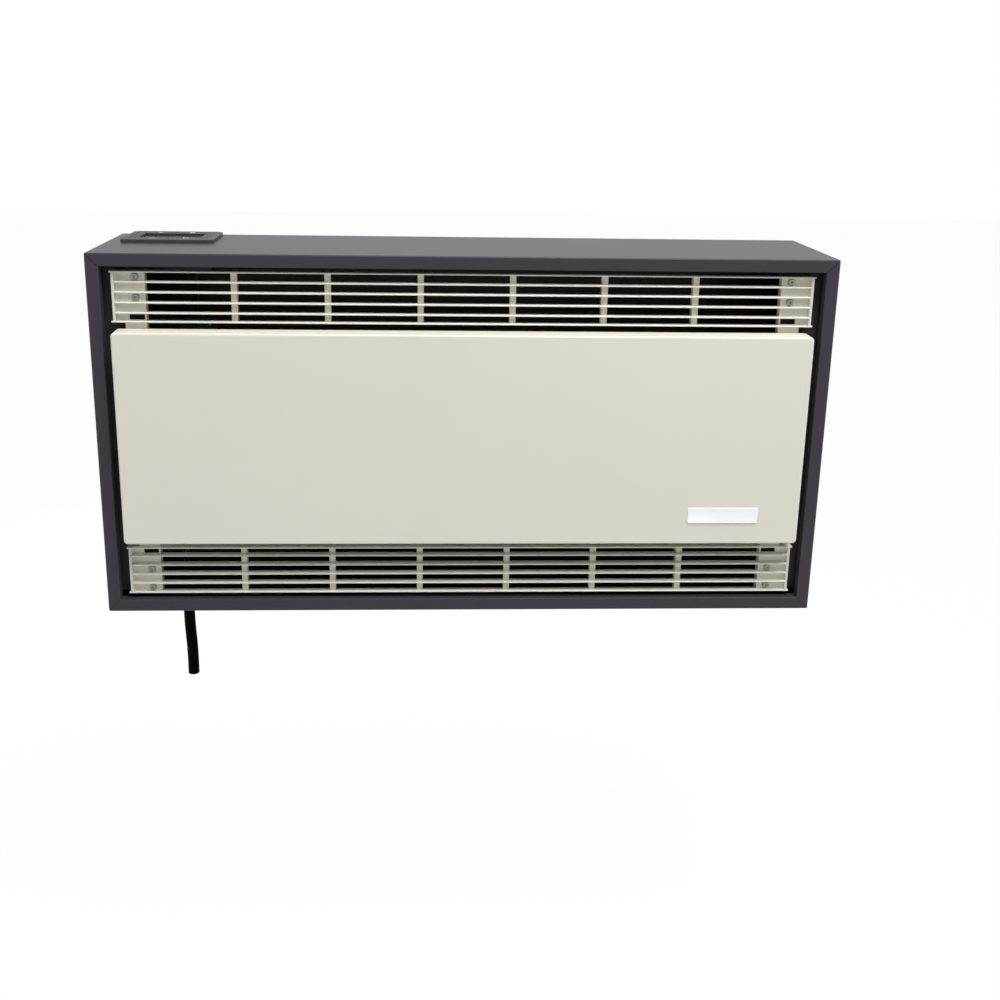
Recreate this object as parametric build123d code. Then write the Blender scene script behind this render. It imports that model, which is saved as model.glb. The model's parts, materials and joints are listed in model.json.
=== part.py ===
from build123d import *
import math
import os

# Wall-mounted fan heater, in millimetres.
# The origin is on the wall, at the centre of the wall bracket's four holes.
# X runs to the viewer's right, Y into the wall and Z up, so the front faces -Y.

# Casing: a folded steel wrap, open at the back, with a picture-frame flange in front
width = 680.0
height = 344.0
depth = 143.5
sheet = 1.2
bend = 1.5
flange = 12.0
lip_depth = 10.0
lip_bend = 0.8
mitre_width = 0.5
mitre_depth = 0.4

# Back plate: a flat rim with a pressed recess that hides the wall bracket
back_gap = 2.0
rim_depth = 10.0
recess_side = 100.0
recess_height = 200.0
recess_depth = 14.0
recess_corner = 10.0

# Wall bracket: a plate with four holes, two upturned hooks and two locking tabs
hole_margin = 32.0
hole_span_z = 80.0
wall_hole_radius = 2.75
bracket_plate = 1.5
bracket_margin = 8.0
bracket_height = 120.0
bracket_corner = 4.0
hook_span = 300.0
hook_width = 40.0
hook_rise = 10.0
hook_play = 1.0
lock_inset = 10.0
lock_width = 18.0
lock_drop = 16.0

# Screws, all with domed heads
screw_radius = 1.75
head_radius = 3.25
head_height = 2.0
screw_length = 8.0
casing_screw_inset = 7.0
casing_screw_rise = 110.0

# Grilles: six thin blades each, seated in notched combs and end brackets
blade_count = 6
blade_pitch = 9.4
last_blade_shift = 1.4
blade_thickness = 1.5
blade_depth = 8.0
blade_nose = 0.55
blade_setback = 5.0
blade_end_gap = 7.5
blade_overhang = 1.5
blade_proud = 4.0
outer_blade_drop = 17.2
notch_gap = 0.05
comb_margin = 79.2
comb_count = 6
comb_width = 5.5
comb_depth = 8.5

# End brackets: full-height channels behind the blade ends, with a raised outer strip
channel_width = 29.3
channel_depth = 8.5
channel_wall = 1.5
rim_width = 2.2
rim_proud = 3.4
bracket_screw_inset = 8.8
slot_width = 14.0
slot_height = 5.0
relief_width = 10.0
relief_height = 8.0

# Mounting rails: angles on the casing sides that the end brackets are screwed to
rail_wall = 1.5
rail_depth = 26.0
rail_overrun = 1.5

# Front panel: a folded tray that stands proud of the flange
panel_inset = 2.0
panel_rise = 73.0
panel_drop = 69.5
panel_proud = 12.0
panel_corner = 4.0
panel_edge = 2.0
panel_hem = 14.0
clip_width = 14.0
clip_sheet = 0.8
clip_reach = 12.0
clip_foot = 14.0
clip_span = 140.0

# Blower: a crossflow impeller between two cheeks
fan_y = -72.0
fan_rise = 190.0
cheek_left_inset = 65.0
cheek_right_inset = 35.0
cheek_sheet = 1.2
cheek_back = -24.0
cheek_crown = 44.0
cheek_front_gap = 1.0
foot_width = 15.0
foot_height = 20.0
foot_high_rise = 16.0
foot_low_drop = 64.0
duct_sheet = 1.0
duct_back = -33.0
duct_front = -96.0
scroll_start = 4.0
scroll_growth = 0.11
scroll_top_angle = 60
scroll_steps = 3
tongue_gap = 4.0
tongue_angle = 192
tongue_bend = 5.0
tongue_inset = 3.0
tongue_rise = 8.0
tongue_drop = 88.0
hood_lift = 8.0
hood_bend = 12.0
outlet_edge = 4.5
deflector_floor_rise = 15.0
deflector_radius = 47.0
impeller_radius = 30.0
impeller_root = 22.0
impeller_gap = 4.0
impeller_blades = 24
impeller_blade_sheet = 0.9
impeller_blade_bulge = 1.6
impeller_blade_sweep = 16.0
disc_sheet = 2.0
disc_hole = 12.0
hub_radius = 8.0
hub_length = 12.0
shaft_radius = 2.5
running_gap = 0.05

# Stub bearing in its rubber mount, in the left cheek
bush_radius = 5.5
bush_length = 9.0
bush_setback = 1.0
mount_radius = 11.0
mount_length = 6.0
mount_groove = 1.5

# Shaded-pole motor on the right cheek
pillar_radius = 3.5
pillar_length = 13.0
pillar_edge = 1.0
stack = 20.0
stator_width = 48.0
stator_top = 24.0
stator_bottom = 54.0
stator_leg = 12.0
stator_bar = 14.0
stator_window = 20.0
rotor_radius = 12.0
rotor_overhang = 1.0
air_gap = 0.5
coil_overhang = 6.0
coil_corner = 3.6
coil_wall = 6.5
coil_gap = 1.0
bridge_sheet = 2.0
bridge_height = 14.0
bridge_lift = 5.0
boss_radius = 6.0
boss_length = 6.0
bush_wall = 1.8

# Heating elements: three sheathed hairpins across the duct
element_radius = 4.0
element_pitch = 20.0
element_drop = 76.0
element_legs = 23.0
element_y = -64.5
element_bend_gap = 12.0
pin_radius = 2.0
pin_length = 12.0
element_tail = 8.0
element_bush_radius = 6.5
element_bush_length = 5.0
support_sheet = 1.5
support_margin = 3.0
cutout_radius = 9.0
cutout_height = 7.0
cutout_button = 3.5

# Power board, terminal block and earth stud, left of the blower
board_sheet = 1.6
board_corner = 2.0
power_board_width = 78.0
power_board_height = 116.0
power_board_side_gap = 12.8
power_board_rise = 204.0
spacer_radius = 3.0
spacer_length = 10.0
spacer_inset = 6.0
relay_width = 13.0
relay_height = 28.0
relay_depth = 16.0
relay_pitch = 20.0
relay_edge = 1.0
transformer_size = 30.0
transformer_depth = 23.0
transformer_edge = 1.5
terminal_width = 56.0
terminal_height = 20.0
terminal_depth = 19.0
terminal_rise = 78.0
terminal_pitch = 17.0
terminal_entry_depth = 8.55
terminal_play = 0.3
terminal_sink = 1.0
terminal_tip_gap = 1.0
earth_radius = 2.5
earth_length = 14.0
nut_radius = 4.6
nut_height = 4.0

# Mains lead and its grip in the casing floor
cord_radius = 5.75
cord_inset = 55.0
cord_y = -38.0
cord_inside = 10.0
cord_play = 0.3
bend_share = 0.45
cord_hang = [(0.0, 0.0, 24.0), (0.1, -0.6, 62.0), (2.1, -1.4, 92.0), (1.9, -1.8, 118.0)]
grip_wall = 2.4
grip_flange_width = 3.0
grip_flange_height = 3.0
grip_boot = 34.0
grip_boot_wall = 2.9
grip_tip_wall = 1.3
core_radius = 1.6
core_spread = 2.4
core_entry = 5.0
core_straight = 0.3

# Control unit in the casing top
bezel_border_x = 6.0
bezel_border_y = 5.5
bezel_side = 14.4
bezel_rear = 6.0
bezel_height = 3.5
bezel_corner = 6.0
bezel_edge = 0.8
skirt_inset = 1.7
skirt_depth = 6.0
skirt_gap = 0.2
skirt_wall = 1.3
insert_width = 75.5
insert_length = 55.0
insert_corner = 3.0
key_gap = 0.7
key_sheet = 3.2
key_lip = 0.9
key_lip_height = 1.0
key_lip_gap = 0.3
key_edge = 0.4
key_travel = 0.8
stem_radius = 1.4
stem_inset_x = 6.0
stem_inset_y = 6.5
tray_depth = 20.0
tray_wall = 1.5
tray_gap = 0.8
post_radius = 2.5
post_height = 8.5
switch_size = 6.0
switch_height = 3.5
switch_bore = 1.7
stem_entry = 0.7
stem_room = 0.7
window_width = 57.8
window_length = 29.8
window_sheet = 1.5
window_recess = 1.5
window_corner = 1.0
frame_wall = 1.6
frame_ledge = 1.8
module_sheet = 3.0
module_gap = 0.2
module_air = 0.5
cable_radius = 2.0
cable_stand_off = 9.0
cable_drift = 1.5

# How far a cutting shape reaches past what it cuts
over = 1.0

# Places worked out from the sizes above
side = width / 2
top = height / 2
bottom = -top
front = -depth
inner_side = side - sheet
inner_top = top - sheet
plate_front = -back_gap - sheet
recess_front = -back_gap - recess_depth - sheet
recess_width = width - 2 * recess_side
bracket_width = recess_width - 2 * bracket_margin
hole_span_x = bracket_width - 2 * hole_margin
lock_span = bracket_width - 2 * lock_inset
blade_front = front + blade_setback
blade_half = side - flange - blade_end_gap
channel_front = blade_front + blade_proud
channel_back = channel_front + channel_depth
channel_outer = blade_half - blade_overhang
channel_inner = channel_outer - channel_width
comb_pitch = 2 * (channel_inner - comb_margin) / (comb_count - 1)
short_blade_half = channel_outer - rim_width - notch_gap
outer_blade_z = top - outer_blade_drop
last_blade_z = outer_blade_z - blade_pitch * (blade_count - 1) + last_blade_shift
grille_end = outer_blade_z + blade_thickness / 2
panel_front = front - panel_proud
panel_half = blade_half - panel_inset
panel_bottom = bottom + panel_rise
panel_height = height - panel_rise - panel_drop
cheek_front = channel_back + cheek_front_gap
cheek_left = cheek_left_inset - recess_width / 2
cheek_right = recess_width / 2 - cheek_right_inset
fan_z = bottom + fan_rise
foot_high = fan_z + foot_high_rise
foot_low = fan_z - foot_low_drop
tongue_bottom = fan_z - tongue_drop
outlet_top = outlet_edge - last_blade_z
deflector_top = bottom + deflector_floor_rise + deflector_radius
element_top = fan_z - element_drop
impeller_left = cheek_left + cheek_sheet + impeller_gap
impeller_right = cheek_right - impeller_gap
motor_left = cheek_right + cheek_sheet + pillar_length
motor_right = motor_left + stack
power_board_x = power_board_side_gap + power_board_width / 2 - inner_side
power_board_z = bottom + power_board_rise
cord_x = cord_inset - side
terminal_x = cord_x
terminal_z = bottom + terminal_rise
grip_radius = cord_radius + cord_play + grip_wall
grip_flange = grip_radius + grip_flange_width
bezel_width = insert_width + 2 * bezel_border_x
bezel_length = insert_length + 2 * bezel_border_y
bezel_x = -side + bezel_side + bezel_width / 2
bezel_y = -bezel_rear - bezel_length / 2
cutout_width = bezel_width - 2 * skirt_inset
cutout_length = bezel_length - 2 * skirt_inset
skirt_width = cutout_width - 2 * skirt_gap
skirt_length = cutout_length - 2 * skirt_gap
key_top = top + bezel_height
board_top = top - skirt_depth - tray_depth + tray_wall + post_height + board_sheet
cord_route = [(cord_x, cord_y, bottom + cord_inside)] + [
    (cord_x + across, cord_y + forward, bottom - drop) for across, forward, drop in cord_hang
]


def block(x0, x1, y0, y1, z0, z1):
    """A box between two planes on each axis."""
    box = Box(x1 - x0, y1 - y0, z1 - z0, align=Align.MIN)
    return Pos(x0, y0, z0) * box


def bar(radius, start, end):
    """A round bar from one point to another."""
    way = Vector(*end) - Vector(*start)
    grounded = (Align.CENTER, Align.CENTER, Align.MIN)
    return Plane(origin=start, z_dir=way) * Cylinder(radius, way.length, align=grounded)


def slab(corner, length, x, z, y0, y1, breadth):
    """A plate parallel to the wall with rounded corners, from y0 back to y1."""
    face = Pos(x, z) * RectangleRounded(breadth, length, corner)
    return extrude(Plane.XZ.offset(-y1) * face, y1 - y0)


def both_sides(shape):
    """The shape and its mirror image across the heater's middle."""
    return [shape, mirror(shape, about=Plane.YZ)]


def strip(path, thickness, x0, x1):
    """A folded sheet that follows a path in the YZ plane, from x0 across to x1."""
    return extrude(Plane.YZ.offset(x0) * trace(path, thickness), x1 - x0)


def screw(head_seat, way, length=screw_length):
    """A pan-head screw whose head sits on a face and whose shank goes along way."""
    grounded = (Align.CENTER, Align.CENTER, Align.MIN)
    head = Cylinder(head_radius, head_height, align=grounded)
    head = fillet(head.edges().sort_by(Axis.Z)[-1], head_height * 0.6)
    shank = Cylinder(screw_radius, length, align=(Align.CENTER, Align.CENTER, Align.MAX))
    outward = Vector(*way) * -1
    return Plane(origin=head_seat, z_dir=outward) * (head + shank)


def screws_in(seats):
    """A screw at each seat."""
    return Compound([screw(seat, way) for seat, way in seats])


def casing():
    """The outer shell with its front flange, lip, mitres and cut-outs."""
    shell = extrude(Plane.XZ * Rectangle(width, height), depth)
    shell = fillet([edge for edge in shell.edges() if edge.center().Y < -bend], bend)
    shell -= extrude(Plane.XZ * Rectangle(width - 2 * sheet, height - 2 * sheet), depth - sheet)
    opening = Rectangle(width - 2 * flange, height - 2 * flange)
    lip_outer = Rectangle(width - 2 * flange + 2 * sheet, height - 2 * flange + 2 * sheet)
    shell += extrude(Plane.XZ.offset(depth - lip_depth) * lip_outer, lip_depth - sheet / 2)
    shell -= extrude(Plane.XZ.offset(depth - lip_depth - sheet) * opening, lip_depth + 2 * sheet)
    rim = [edge for edge in shell.edges() if is_opening_edge(edge)]
    shell = fillet(rim, lip_bend)
    for mitre in mitre_cuts():
        shell -= mitre
    shell -= block(
        bezel_x - cutout_width / 2, bezel_x + cutout_width / 2,
        bezel_y - cutout_length / 2, bezel_y + cutout_length / 2,
        top - 2 * sheet, top + sheet,
    )
    shell -= bar(grip_radius, (cord_x, cord_y, bottom - over), (cord_x, cord_y, bottom + sheet + over))
    for seat, way in casing_screw_seats():
        shell -= screw(seat, way)
    return shell


def is_opening_edge(edge):
    """True for the front edges where the flange turns back into the lip."""
    middle = edge.center()
    across = abs(abs(middle.X) - (side - flange)) < 0.01 and abs(middle.Z) < 0.01
    along = abs(abs(middle.Z) - (top - flange)) < 0.01 and abs(middle.X) < 0.01
    return abs(middle.Y - front) < 0.01 and (across or along)


def mitre_cuts():
    """Fine grooves across the flange's four corners, where its sides meet."""
    cuts = []
    for turn, x in ((45, side), (-45, -side)):
        for flip, z in ((1, top), (-1, bottom)):
            groove = Box(3 * flange, 2 * mitre_depth, mitre_width)
            middle_x = x - math.copysign(flange / 2, x)
            middle_z = z - math.copysign(flange / 2, z)
            cuts.append(Pos(middle_x, front, middle_z) * Rot(0, -turn * flip, 0) * groove)
    return cuts


def casing_screw_seats():
    """Head seats and directions of the screws that hold the casing to the back plate."""
    level = -back_gap - casing_screw_inset
    seats = []
    for x in (-side, side):
        for z in (-casing_screw_rise, casing_screw_rise):
            seats.append(((x, level, z), (-math.copysign(1, x), 0, 0)))
    for x in (-casing_screw_rise, casing_screw_rise):
        seats.append(((x, level, bottom), (0, 0, 1)))
    return seats


def back_plate():
    """The rear sheet, with a pressed recess round the bracket and a folded rim."""
    plate = block(-inner_side, inner_side, plate_front, -back_gap, -inner_top, inner_top)
    tub = slab(recess_corner, recess_height, 0, 0, recess_front, -back_gap, recess_width)
    plate += tub
    plate -= slab(
        recess_corner - sheet, recess_height - 2 * sheet, 0, 0,
        recess_front + sheet, 0, recess_width - 2 * sheet,
    )
    rim_front = -back_gap - rim_depth
    wing = block(inner_side - sheet, inner_side, rim_front, plate_front, -inner_top, inner_top)
    for side_rim in both_sides(wing):
        plate += side_rim
    plate += block(-inner_side, inner_side, rim_front, plate_front, -inner_top, -inner_top + sheet)
    for slot in both_sides(hook_slot()):
        plate -= slot
    for seat, way in casing_screw_seats() + cheek_screw_seats() + lock_screw_seats():
        plate -= screw(seat, way)
    plate -= bar(earth_radius, (terminal_x, plate_front - over, earth_z()), (terminal_x, 0, earth_z()))
    return plate


def hook_slot():
    """The opening that a bracket hook passes through, with its top on the hook's arm."""
    slot_top = bracket_height / 2
    slot_drop = hook_rise + bracket_plate + hook_play
    half = hook_width / 2 + hook_play
    return block(
        hook_span / 2 - half, hook_span / 2 + half,
        recess_front - over, recess_front + sheet + over, slot_top - slot_drop, slot_top,
    )


def wall_bracket():
    """The plate on the wall, with hooks at its top edge and locking tabs below."""
    plate = slab(bracket_corner, bracket_height, 0, 0, -bracket_plate, 0, bracket_width)
    for x in (-hole_span_x / 2, hole_span_x / 2):
        for z in (-hole_span_z / 2, hole_span_z / 2):
            plate -= bar(wall_hole_radius, (x, -2 * bracket_plate, z), (x, bracket_plate, z))
    arm_top = bracket_height / 2
    hook_front = recess_front - hook_play - bracket_plate
    arm = block(
        hook_span / 2 - hook_width / 2, hook_span / 2 + hook_width / 2,
        hook_front, -bracket_plate / 2, arm_top - bracket_plate, arm_top,
    )
    hook = block(
        hook_span / 2 - hook_width / 2, hook_span / 2 + hook_width / 2,
        hook_front, hook_front + bracket_plate, arm_top - bracket_plate, arm_top + hook_rise,
    )
    tab_back = recess_front + sheet
    tab_top = -bracket_height / 2
    shelf = block(
        lock_span / 2 - lock_width / 2, lock_span / 2 + lock_width / 2,
        tab_back, -bracket_plate / 2, tab_top, tab_top + bracket_plate,
    )
    tab = block(
        lock_span / 2 - lock_width / 2, lock_span / 2 + lock_width / 2,
        tab_back, tab_back + bracket_plate, tab_top - lock_drop, tab_top + bracket_plate,
    )
    for piece in (arm, hook, shelf, tab):
        for copy in both_sides(piece):
            plate += copy
    return plate - screws_in(lock_screw_seats())


def lock_screw_seats():
    """Seats of the screws that lock the heater to the bracket's lower tabs."""
    z = -bracket_height / 2 - lock_drop / 2
    return [((x, recess_front, z), (0, 1, 0)) for x in (-lock_span / 2, lock_span / 2)]


def cheek_screw_seats():
    """Seats of the screws through the blower's four feet."""
    seats = []
    for x in (cheek_left - foot_width / 2, cheek_right + cheek_sheet + foot_width / 2):
        for z in (foot_high, foot_low):
            seats.append(((x, recess_front - cheek_sheet, z), (0, 1, 0)))
    return seats


def blade_places(way):
    """Heights and half-lengths of one grille's blades: the two end ones are the long ones."""
    middle = [outer_blade_z - blade_pitch * row for row in range(1, blade_count - 1)]
    places = [(way * z, short_blade_half) for z in middle]
    return [(way * outer_blade_z, blade_half)] + places + [(way * last_blade_z, blade_half)]


def blades(way):
    """One grille's blades, each a thin strip with a bevelled nose."""
    strips = []
    for z, reach in blade_places(way):
        half = blade_thickness / 2
        nose = half - blade_nose
        outline = Polyline(
            (blade_front, z - nose), (blade_front, z + nose),
            (blade_front + blade_nose, z + half), (blade_front + blade_depth, z + half),
            (blade_front + blade_depth, z - half), (blade_front + blade_nose, z - half),
            close=True,
        )
        strips.append(extrude(Plane.YZ.offset(-reach) * make_face(outline), 2 * reach))
    return Compound(strips)


def notches(way, x0, x1):
    """Slots that the rear halves of one grille's blades sit in."""
    half = blade_thickness / 2 + notch_gap
    back = blade_front + blade_depth
    return [block(x0, x1, blade_front, back, z - half, z + half) for z, reach in blade_places(way)]


def combs(way):
    """The notched bars that space one grille's blades and end flush with its end blades."""
    ends = sorted([way * grille_end, way * (last_blade_z - blade_thickness / 2)])
    bars = []
    for number in range(comb_count):
        x = comb_pitch * (number - (comb_count - 1) / 2)
        x0 = x - comb_width / 2
        x1 = x + comb_width / 2
        comb = block(x0, x1, channel_front, channel_front + comb_depth, *ends)
        for notch in notches(way, x0 - over, x1 + over):
            comb -= notch
        bars.append(comb)
    return Compound(bars)


def bracket_screw_places():
    """Heights of the end bracket screws, in the first and third gaps of each grille."""
    heights = [outer_blade_z - blade_pitch * gap for gap in (0.5, 2.5)]
    return heights + [-z for z in heights]


def bracket_screw_x():
    """How far the end bracket screws are from the heater's middle."""
    return channel_inner + bracket_screw_inset


def end_bracket():
    """The right end bracket: a channel notched for the blades, with strips, slots and reliefs."""
    channel = block(channel_inner, channel_outer, channel_front, channel_back, -grille_end, grille_end)
    channel -= block(
        channel_inner + channel_wall, channel_outer - channel_wall,
        channel_front + channel_wall, channel_back + over, -grille_end - over, grille_end + over,
    )
    for way in (-1, 1):
        for notch in notches(way, channel_inner - over, short_blade_half + notch_gap):
            channel -= notch
        channel += bracket_strip(way)
        for notch in (notches(way, channel_inner, channel_outer + over)[end] for end in (0, -1)):
            channel -= notch
        channel -= bracket_slot(way)
        channel -= bracket_relief(way)
    for z in bracket_screw_places():
        x = bracket_screw_x()
        channel -= bar(screw_radius, (x, channel_front - over, z), (x, channel_back, z))
    return channel


def bracket_strip(way):
    """The raised strip that the ends of a grille's four short blades butt against."""
    ends = sorted([way * outer_blade_z, way * last_blade_z])
    edge = channel_outer - rim_width
    return block(edge, channel_outer, channel_front - rim_proud, channel_front + channel_wall, *ends)


def bracket_slot(way):
    """The slot through the end bracket, in the gap beside a grille's last blade."""
    gap_z = last_blade_z + (blade_pitch - last_blade_shift) / 2
    x = channel_inner + channel_wall + slot_width / 2
    return Pos(x, channel_front, way * gap_z) * Box(slot_width, 2 * channel_wall + over, slot_height)


def bracket_relief(way):
    """The cut-out of the bracket's outer half, between a grille's last blade and the panel."""
    relief_top = last_blade_z - blade_thickness / 2
    ends = sorted([way * relief_top, way * (relief_top - relief_height)])
    edge = channel_outer - relief_width
    return block(edge, channel_outer + over, channel_front - over, channel_back + over, *ends)


def mounting_rail():
    """The right rail: an angle on the casing side that carries the end bracket."""
    reach = grille_end + rail_overrun
    flange_edge = inner_side - rail_wall
    rail = block(channel_inner, inner_side, channel_back, channel_back + rail_wall, -reach, reach)
    rail += block(flange_edge, inner_side, channel_back, channel_back + rail_depth, -reach, reach)
    for z in bracket_screw_places():
        x = bracket_screw_x()
        rail -= bar(screw_radius, (x, channel_back - over, z), (x, channel_back + rail_wall + over, z))
    return rail


def grille_screws():
    """The eight screws that hold the end brackets to the rails."""
    length = channel_depth + 3 * rail_wall
    screws = []
    for z in bracket_screw_places():
        screws += both_sides(screw((bracket_screw_x(), channel_front, z), (0, 1, 0), length))
    return Compound(screws)


def front_panel():
    """The cream tray: rounded front edges, folded sides and a hem along each end."""
    middle_z = panel_bottom + panel_height / 2
    tray = slab(panel_corner, panel_height, 0, middle_z, panel_front, channel_front, 2 * panel_half)
    tray = fillet([edge for edge in tray.edges() if edge.center().Y < panel_front + 0.01], panel_edge)
    hollow = slab(
        panel_corner - sheet, panel_height - 2 * sheet, 0, middle_z,
        panel_front + sheet, channel_front + over, 2 * (panel_half - sheet),
    )
    tray -= hollow
    for hem in both_sides(
        block(
            panel_half - panel_hem, panel_half - sheet / 2, channel_front - sheet, channel_front,
            panel_bottom + panel_corner, panel_bottom + panel_height - panel_corner,
        )
    ):
        tray += hem
    return tray


def panel_clips():
    """Spring clips riveted to the end brackets, which grip the panel's hems."""
    middle_z = panel_bottom + panel_height / 2
    hem_edge = panel_half - panel_hem
    foot_end = hem_edge - clip_foot
    hem_front = channel_front - sheet
    outline = Polyline(
        (foot_end, channel_front), (hem_edge - 2 * clip_sheet, channel_front),
        (hem_edge - clip_sheet, hem_front - clip_sheet), (hem_edge + clip_reach / 2, hem_front),
        (hem_edge + clip_reach / 2, hem_front - clip_sheet),
        (hem_edge - 2 * clip_sheet, hem_front - 2 * clip_sheet),
        (hem_edge - 3 * clip_sheet, channel_front - clip_sheet),
        (foot_end, channel_front - clip_sheet),
        close=True,
    )
    clips = []
    for z in (middle_z - clip_span / 2, middle_z + clip_span / 2):
        foot = Plane.XY.offset(z - clip_width / 2)
        clips += both_sides(extrude(foot * make_face(outline), clip_width))
    return Compound(clips)


def fan_point(radius, angle):
    """A point in the YZ plane at a radius and an angle round the fan's axis."""
    turn = math.radians(angle)
    return (fan_y + radius * math.cos(turn), fan_z + radius * math.sin(turn))


def scroll_point(angle):
    """A point of the scroll, which leaves the impeller steadily as it goes down."""
    radius = impeller_radius + scroll_start + scroll_growth * (scroll_top_angle - angle)
    return fan_point(radius, angle)


def scroll_housing():
    """The rear wall of the blower: a widening scroll that runs down into the duct."""
    turn = scroll_top_angle / scroll_steps
    angles = [scroll_top_angle - turn * step for step in range(scroll_steps + 1)]
    duct_start = (duct_back, fan_z - impeller_radius)
    curve = Spline(
        [scroll_point(angle) for angle in angles] + [duct_start],
        tangents=[tangent_of(scroll_point, scroll_top_angle), (0, -1)],
    )
    wall = Line(duct_start, (duct_back, deflector_top))
    return strip(Wire([curve, wall]), duct_sheet, cheek_left + cheek_sheet, cheek_right)


def tangent_of(curve, angle):
    """The direction in which a curve given by a falling angle sets off."""
    ahead = curve(angle - 1)
    here = curve(angle)
    return (ahead[0] - here[0], ahead[1] - here[1])


def vortex_tongue():
    """The front wall of the blower, with its lip close to the impeller."""
    nearest = fan_point(impeller_radius + tongue_gap, tongue_angle)
    lip = (fan_y - cheek_crown + tongue_inset, fan_z + tongue_rise)
    path = FilletPolyline(
        lip, nearest, (duct_front, fan_z - impeller_radius), (duct_front, tongue_bottom),
        radius=tongue_bend,
    )
    return strip(path, duct_sheet, cheek_left + cheek_sheet, cheek_right)


def outlet_hood():
    """The upper sheet of the outlet, from the tongue forward to the grille."""
    path = FilletPolyline(
        (duct_front, tongue_bottom), (duct_front, outlet_top + hood_lift), (cheek_front, outlet_top),
        radius=hood_bend,
    )
    return strip(path, duct_sheet, cheek_left + cheek_sheet, cheek_right)


def outlet_deflector():
    """The lower sheet, which turns the falling air forward to the grille."""
    floor = deflector_top - deflector_radius
    turn = RadiusArc((duct_back, deflector_top), (duct_back - deflector_radius, floor), deflector_radius)
    run = Line((duct_back - deflector_radius, floor), (cheek_front, floor))
    return strip(Wire([turn, run]), duct_sheet, cheek_left + cheek_sheet, cheek_right)


def cheek(x0, shaft_hole, side_sign):
    """An end plate of the blower, with two feet bent outwards onto the back plate."""
    crown = Pos(fan_y, fan_z) * Circle(cheek_crown)
    upper = rectangle_between(fan_y - cheek_crown, cheek_back, tongue_bottom, fan_z)
    lower = rectangle_between(cheek_front, cheek_back, -inner_top + sheet, tongue_bottom)
    shoulder = rectangle_between(fan_y, cheek_back, fan_z, foot_high + foot_height / 2)
    face = crown + upper + lower + shoulder
    for z in (foot_high, foot_low):
        face += rectangle_between(cheek_back, recess_front, z - foot_height / 2, z + foot_height / 2)
    face -= Pos(fan_y, fan_z) * Circle(shaft_hole)
    plate = extrude(Plane.YZ.offset(x0) * face, cheek_sheet)
    x1 = x0 if side_sign < 0 else x0 + cheek_sheet
    tip = x1 + side_sign * foot_width
    for z in (foot_high, foot_low):
        plate += block(
            min(x1, tip), max(x1, tip), recess_front - cheek_sheet, recess_front,
            z - foot_height / 2, z + foot_height / 2,
        )
    for seat, way in cheek_screw_seats():
        plate -= screw(seat, way)
    return plate


def rectangle_between(x0, x1, y0, y1):
    """A rectangle between two lines each way."""
    low_x, high_x = min(x0, x1), max(x0, x1)
    low_y, high_y = min(y0, y1), max(y0, y1)
    return Pos(low_x, low_y) * Rectangle(high_x - low_x, high_y - low_y, align=Align.MIN)


def cheek_left_plate():
    """The left cheek, whose hole holds the stub bearing's rubber mount."""
    return cheek(cheek_left, mount_radius - mount_groove, -1)


def cheek_right_plate():
    """The right cheek, with holes for the shaft and the element bushes."""
    plate = cheek(cheek_right, boss_radius + air_gap, 1)
    for y, z in element_points():
        groove = element_bush_radius - mount_groove
        plate -= bar(groove, (cheek_right - over, y, z), (cheek_right + cheek_sheet + over, y, z))
    return plate


def impeller():
    """A squirrel-cage wheel: curved blades through four discs, with a hub at each end."""
    vanes = [Pos(0, fan_y, fan_z) * Rot(turn, 0, 0) * impeller_vane() for turn in vane_angles()]
    third = (impeller_right - impeller_left - disc_sheet) / 3
    starts = [impeller_left + number * third for number in range(4)]
    end_discs = [axle_bar(impeller_radius, x, x + disc_sheet) for x in (starts[0], starts[-1])]
    inner_discs = [ring(impeller_radius, disc_hole, x, x + disc_sheet) for x in starts[1:-1]]
    hubs = [
        axle_bar(hub_radius, impeller_left, impeller_left + hub_length),
        axle_bar(hub_radius, impeller_right - hub_length, impeller_right),
    ]
    wheel = end_discs[0].fuse(end_discs[1], *inner_discs, *hubs, *vanes)
    wheel -= axle_bar(shaft_radius, impeller_left - over, impeller_left + hub_length + over)
    return wheel - axle_bar(shaft_radius, impeller_right - hub_length - over, impeller_right + over)


def vane_angles():
    """The turn of each impeller blade round the axis."""
    return [number * 360 / impeller_blades for number in range(impeller_blades)]


def impeller_vane():
    """One curved, forward-swept blade as long as the impeller."""
    sweep_turn = math.radians(impeller_blade_sweep)
    reach = impeller_radius - impeller_blade_sheet
    tip = (reach * math.cos(sweep_turn), reach * math.sin(sweep_turn))
    face = trace(SagittaArc((impeller_root, 0), tip, -impeller_blade_bulge), impeller_blade_sheet)
    return extrude(Plane.YZ.offset(impeller_left) * face, impeller_right - impeller_left)


def fan_stub():
    """The pin on which the impeller's left end runs."""
    return axle_bar(shaft_radius, cheek_left - bush_length / 2 - shaft_radius, impeller_left + hub_length)


def fan_shaft():
    """The motor shaft, which also carries the impeller's right end."""
    end = motor_right + bridge_lift + boss_length + shaft_radius
    return axle_bar(shaft_radius, impeller_right - hub_length, end)


def axle_bar(radius, x0, x1):
    """A round bar along the fan's axis."""
    return bar(radius, (x0, fan_y, fan_z), (x1, fan_y, fan_z))


def ring(outer, inner, x0, x1):
    """A tube round the fan's axis."""
    return axle_bar(outer, x0, x1) - axle_bar(inner, x0 - over, x1 + over)


def stub_bearing():
    """The sintered bush that the stub pin turns in."""
    start = cheek_left + cheek_sheet / 2 - bush_length / 2
    return ring(bush_radius, shaft_radius + running_gap, start, start + bush_length - bush_setback)


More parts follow.
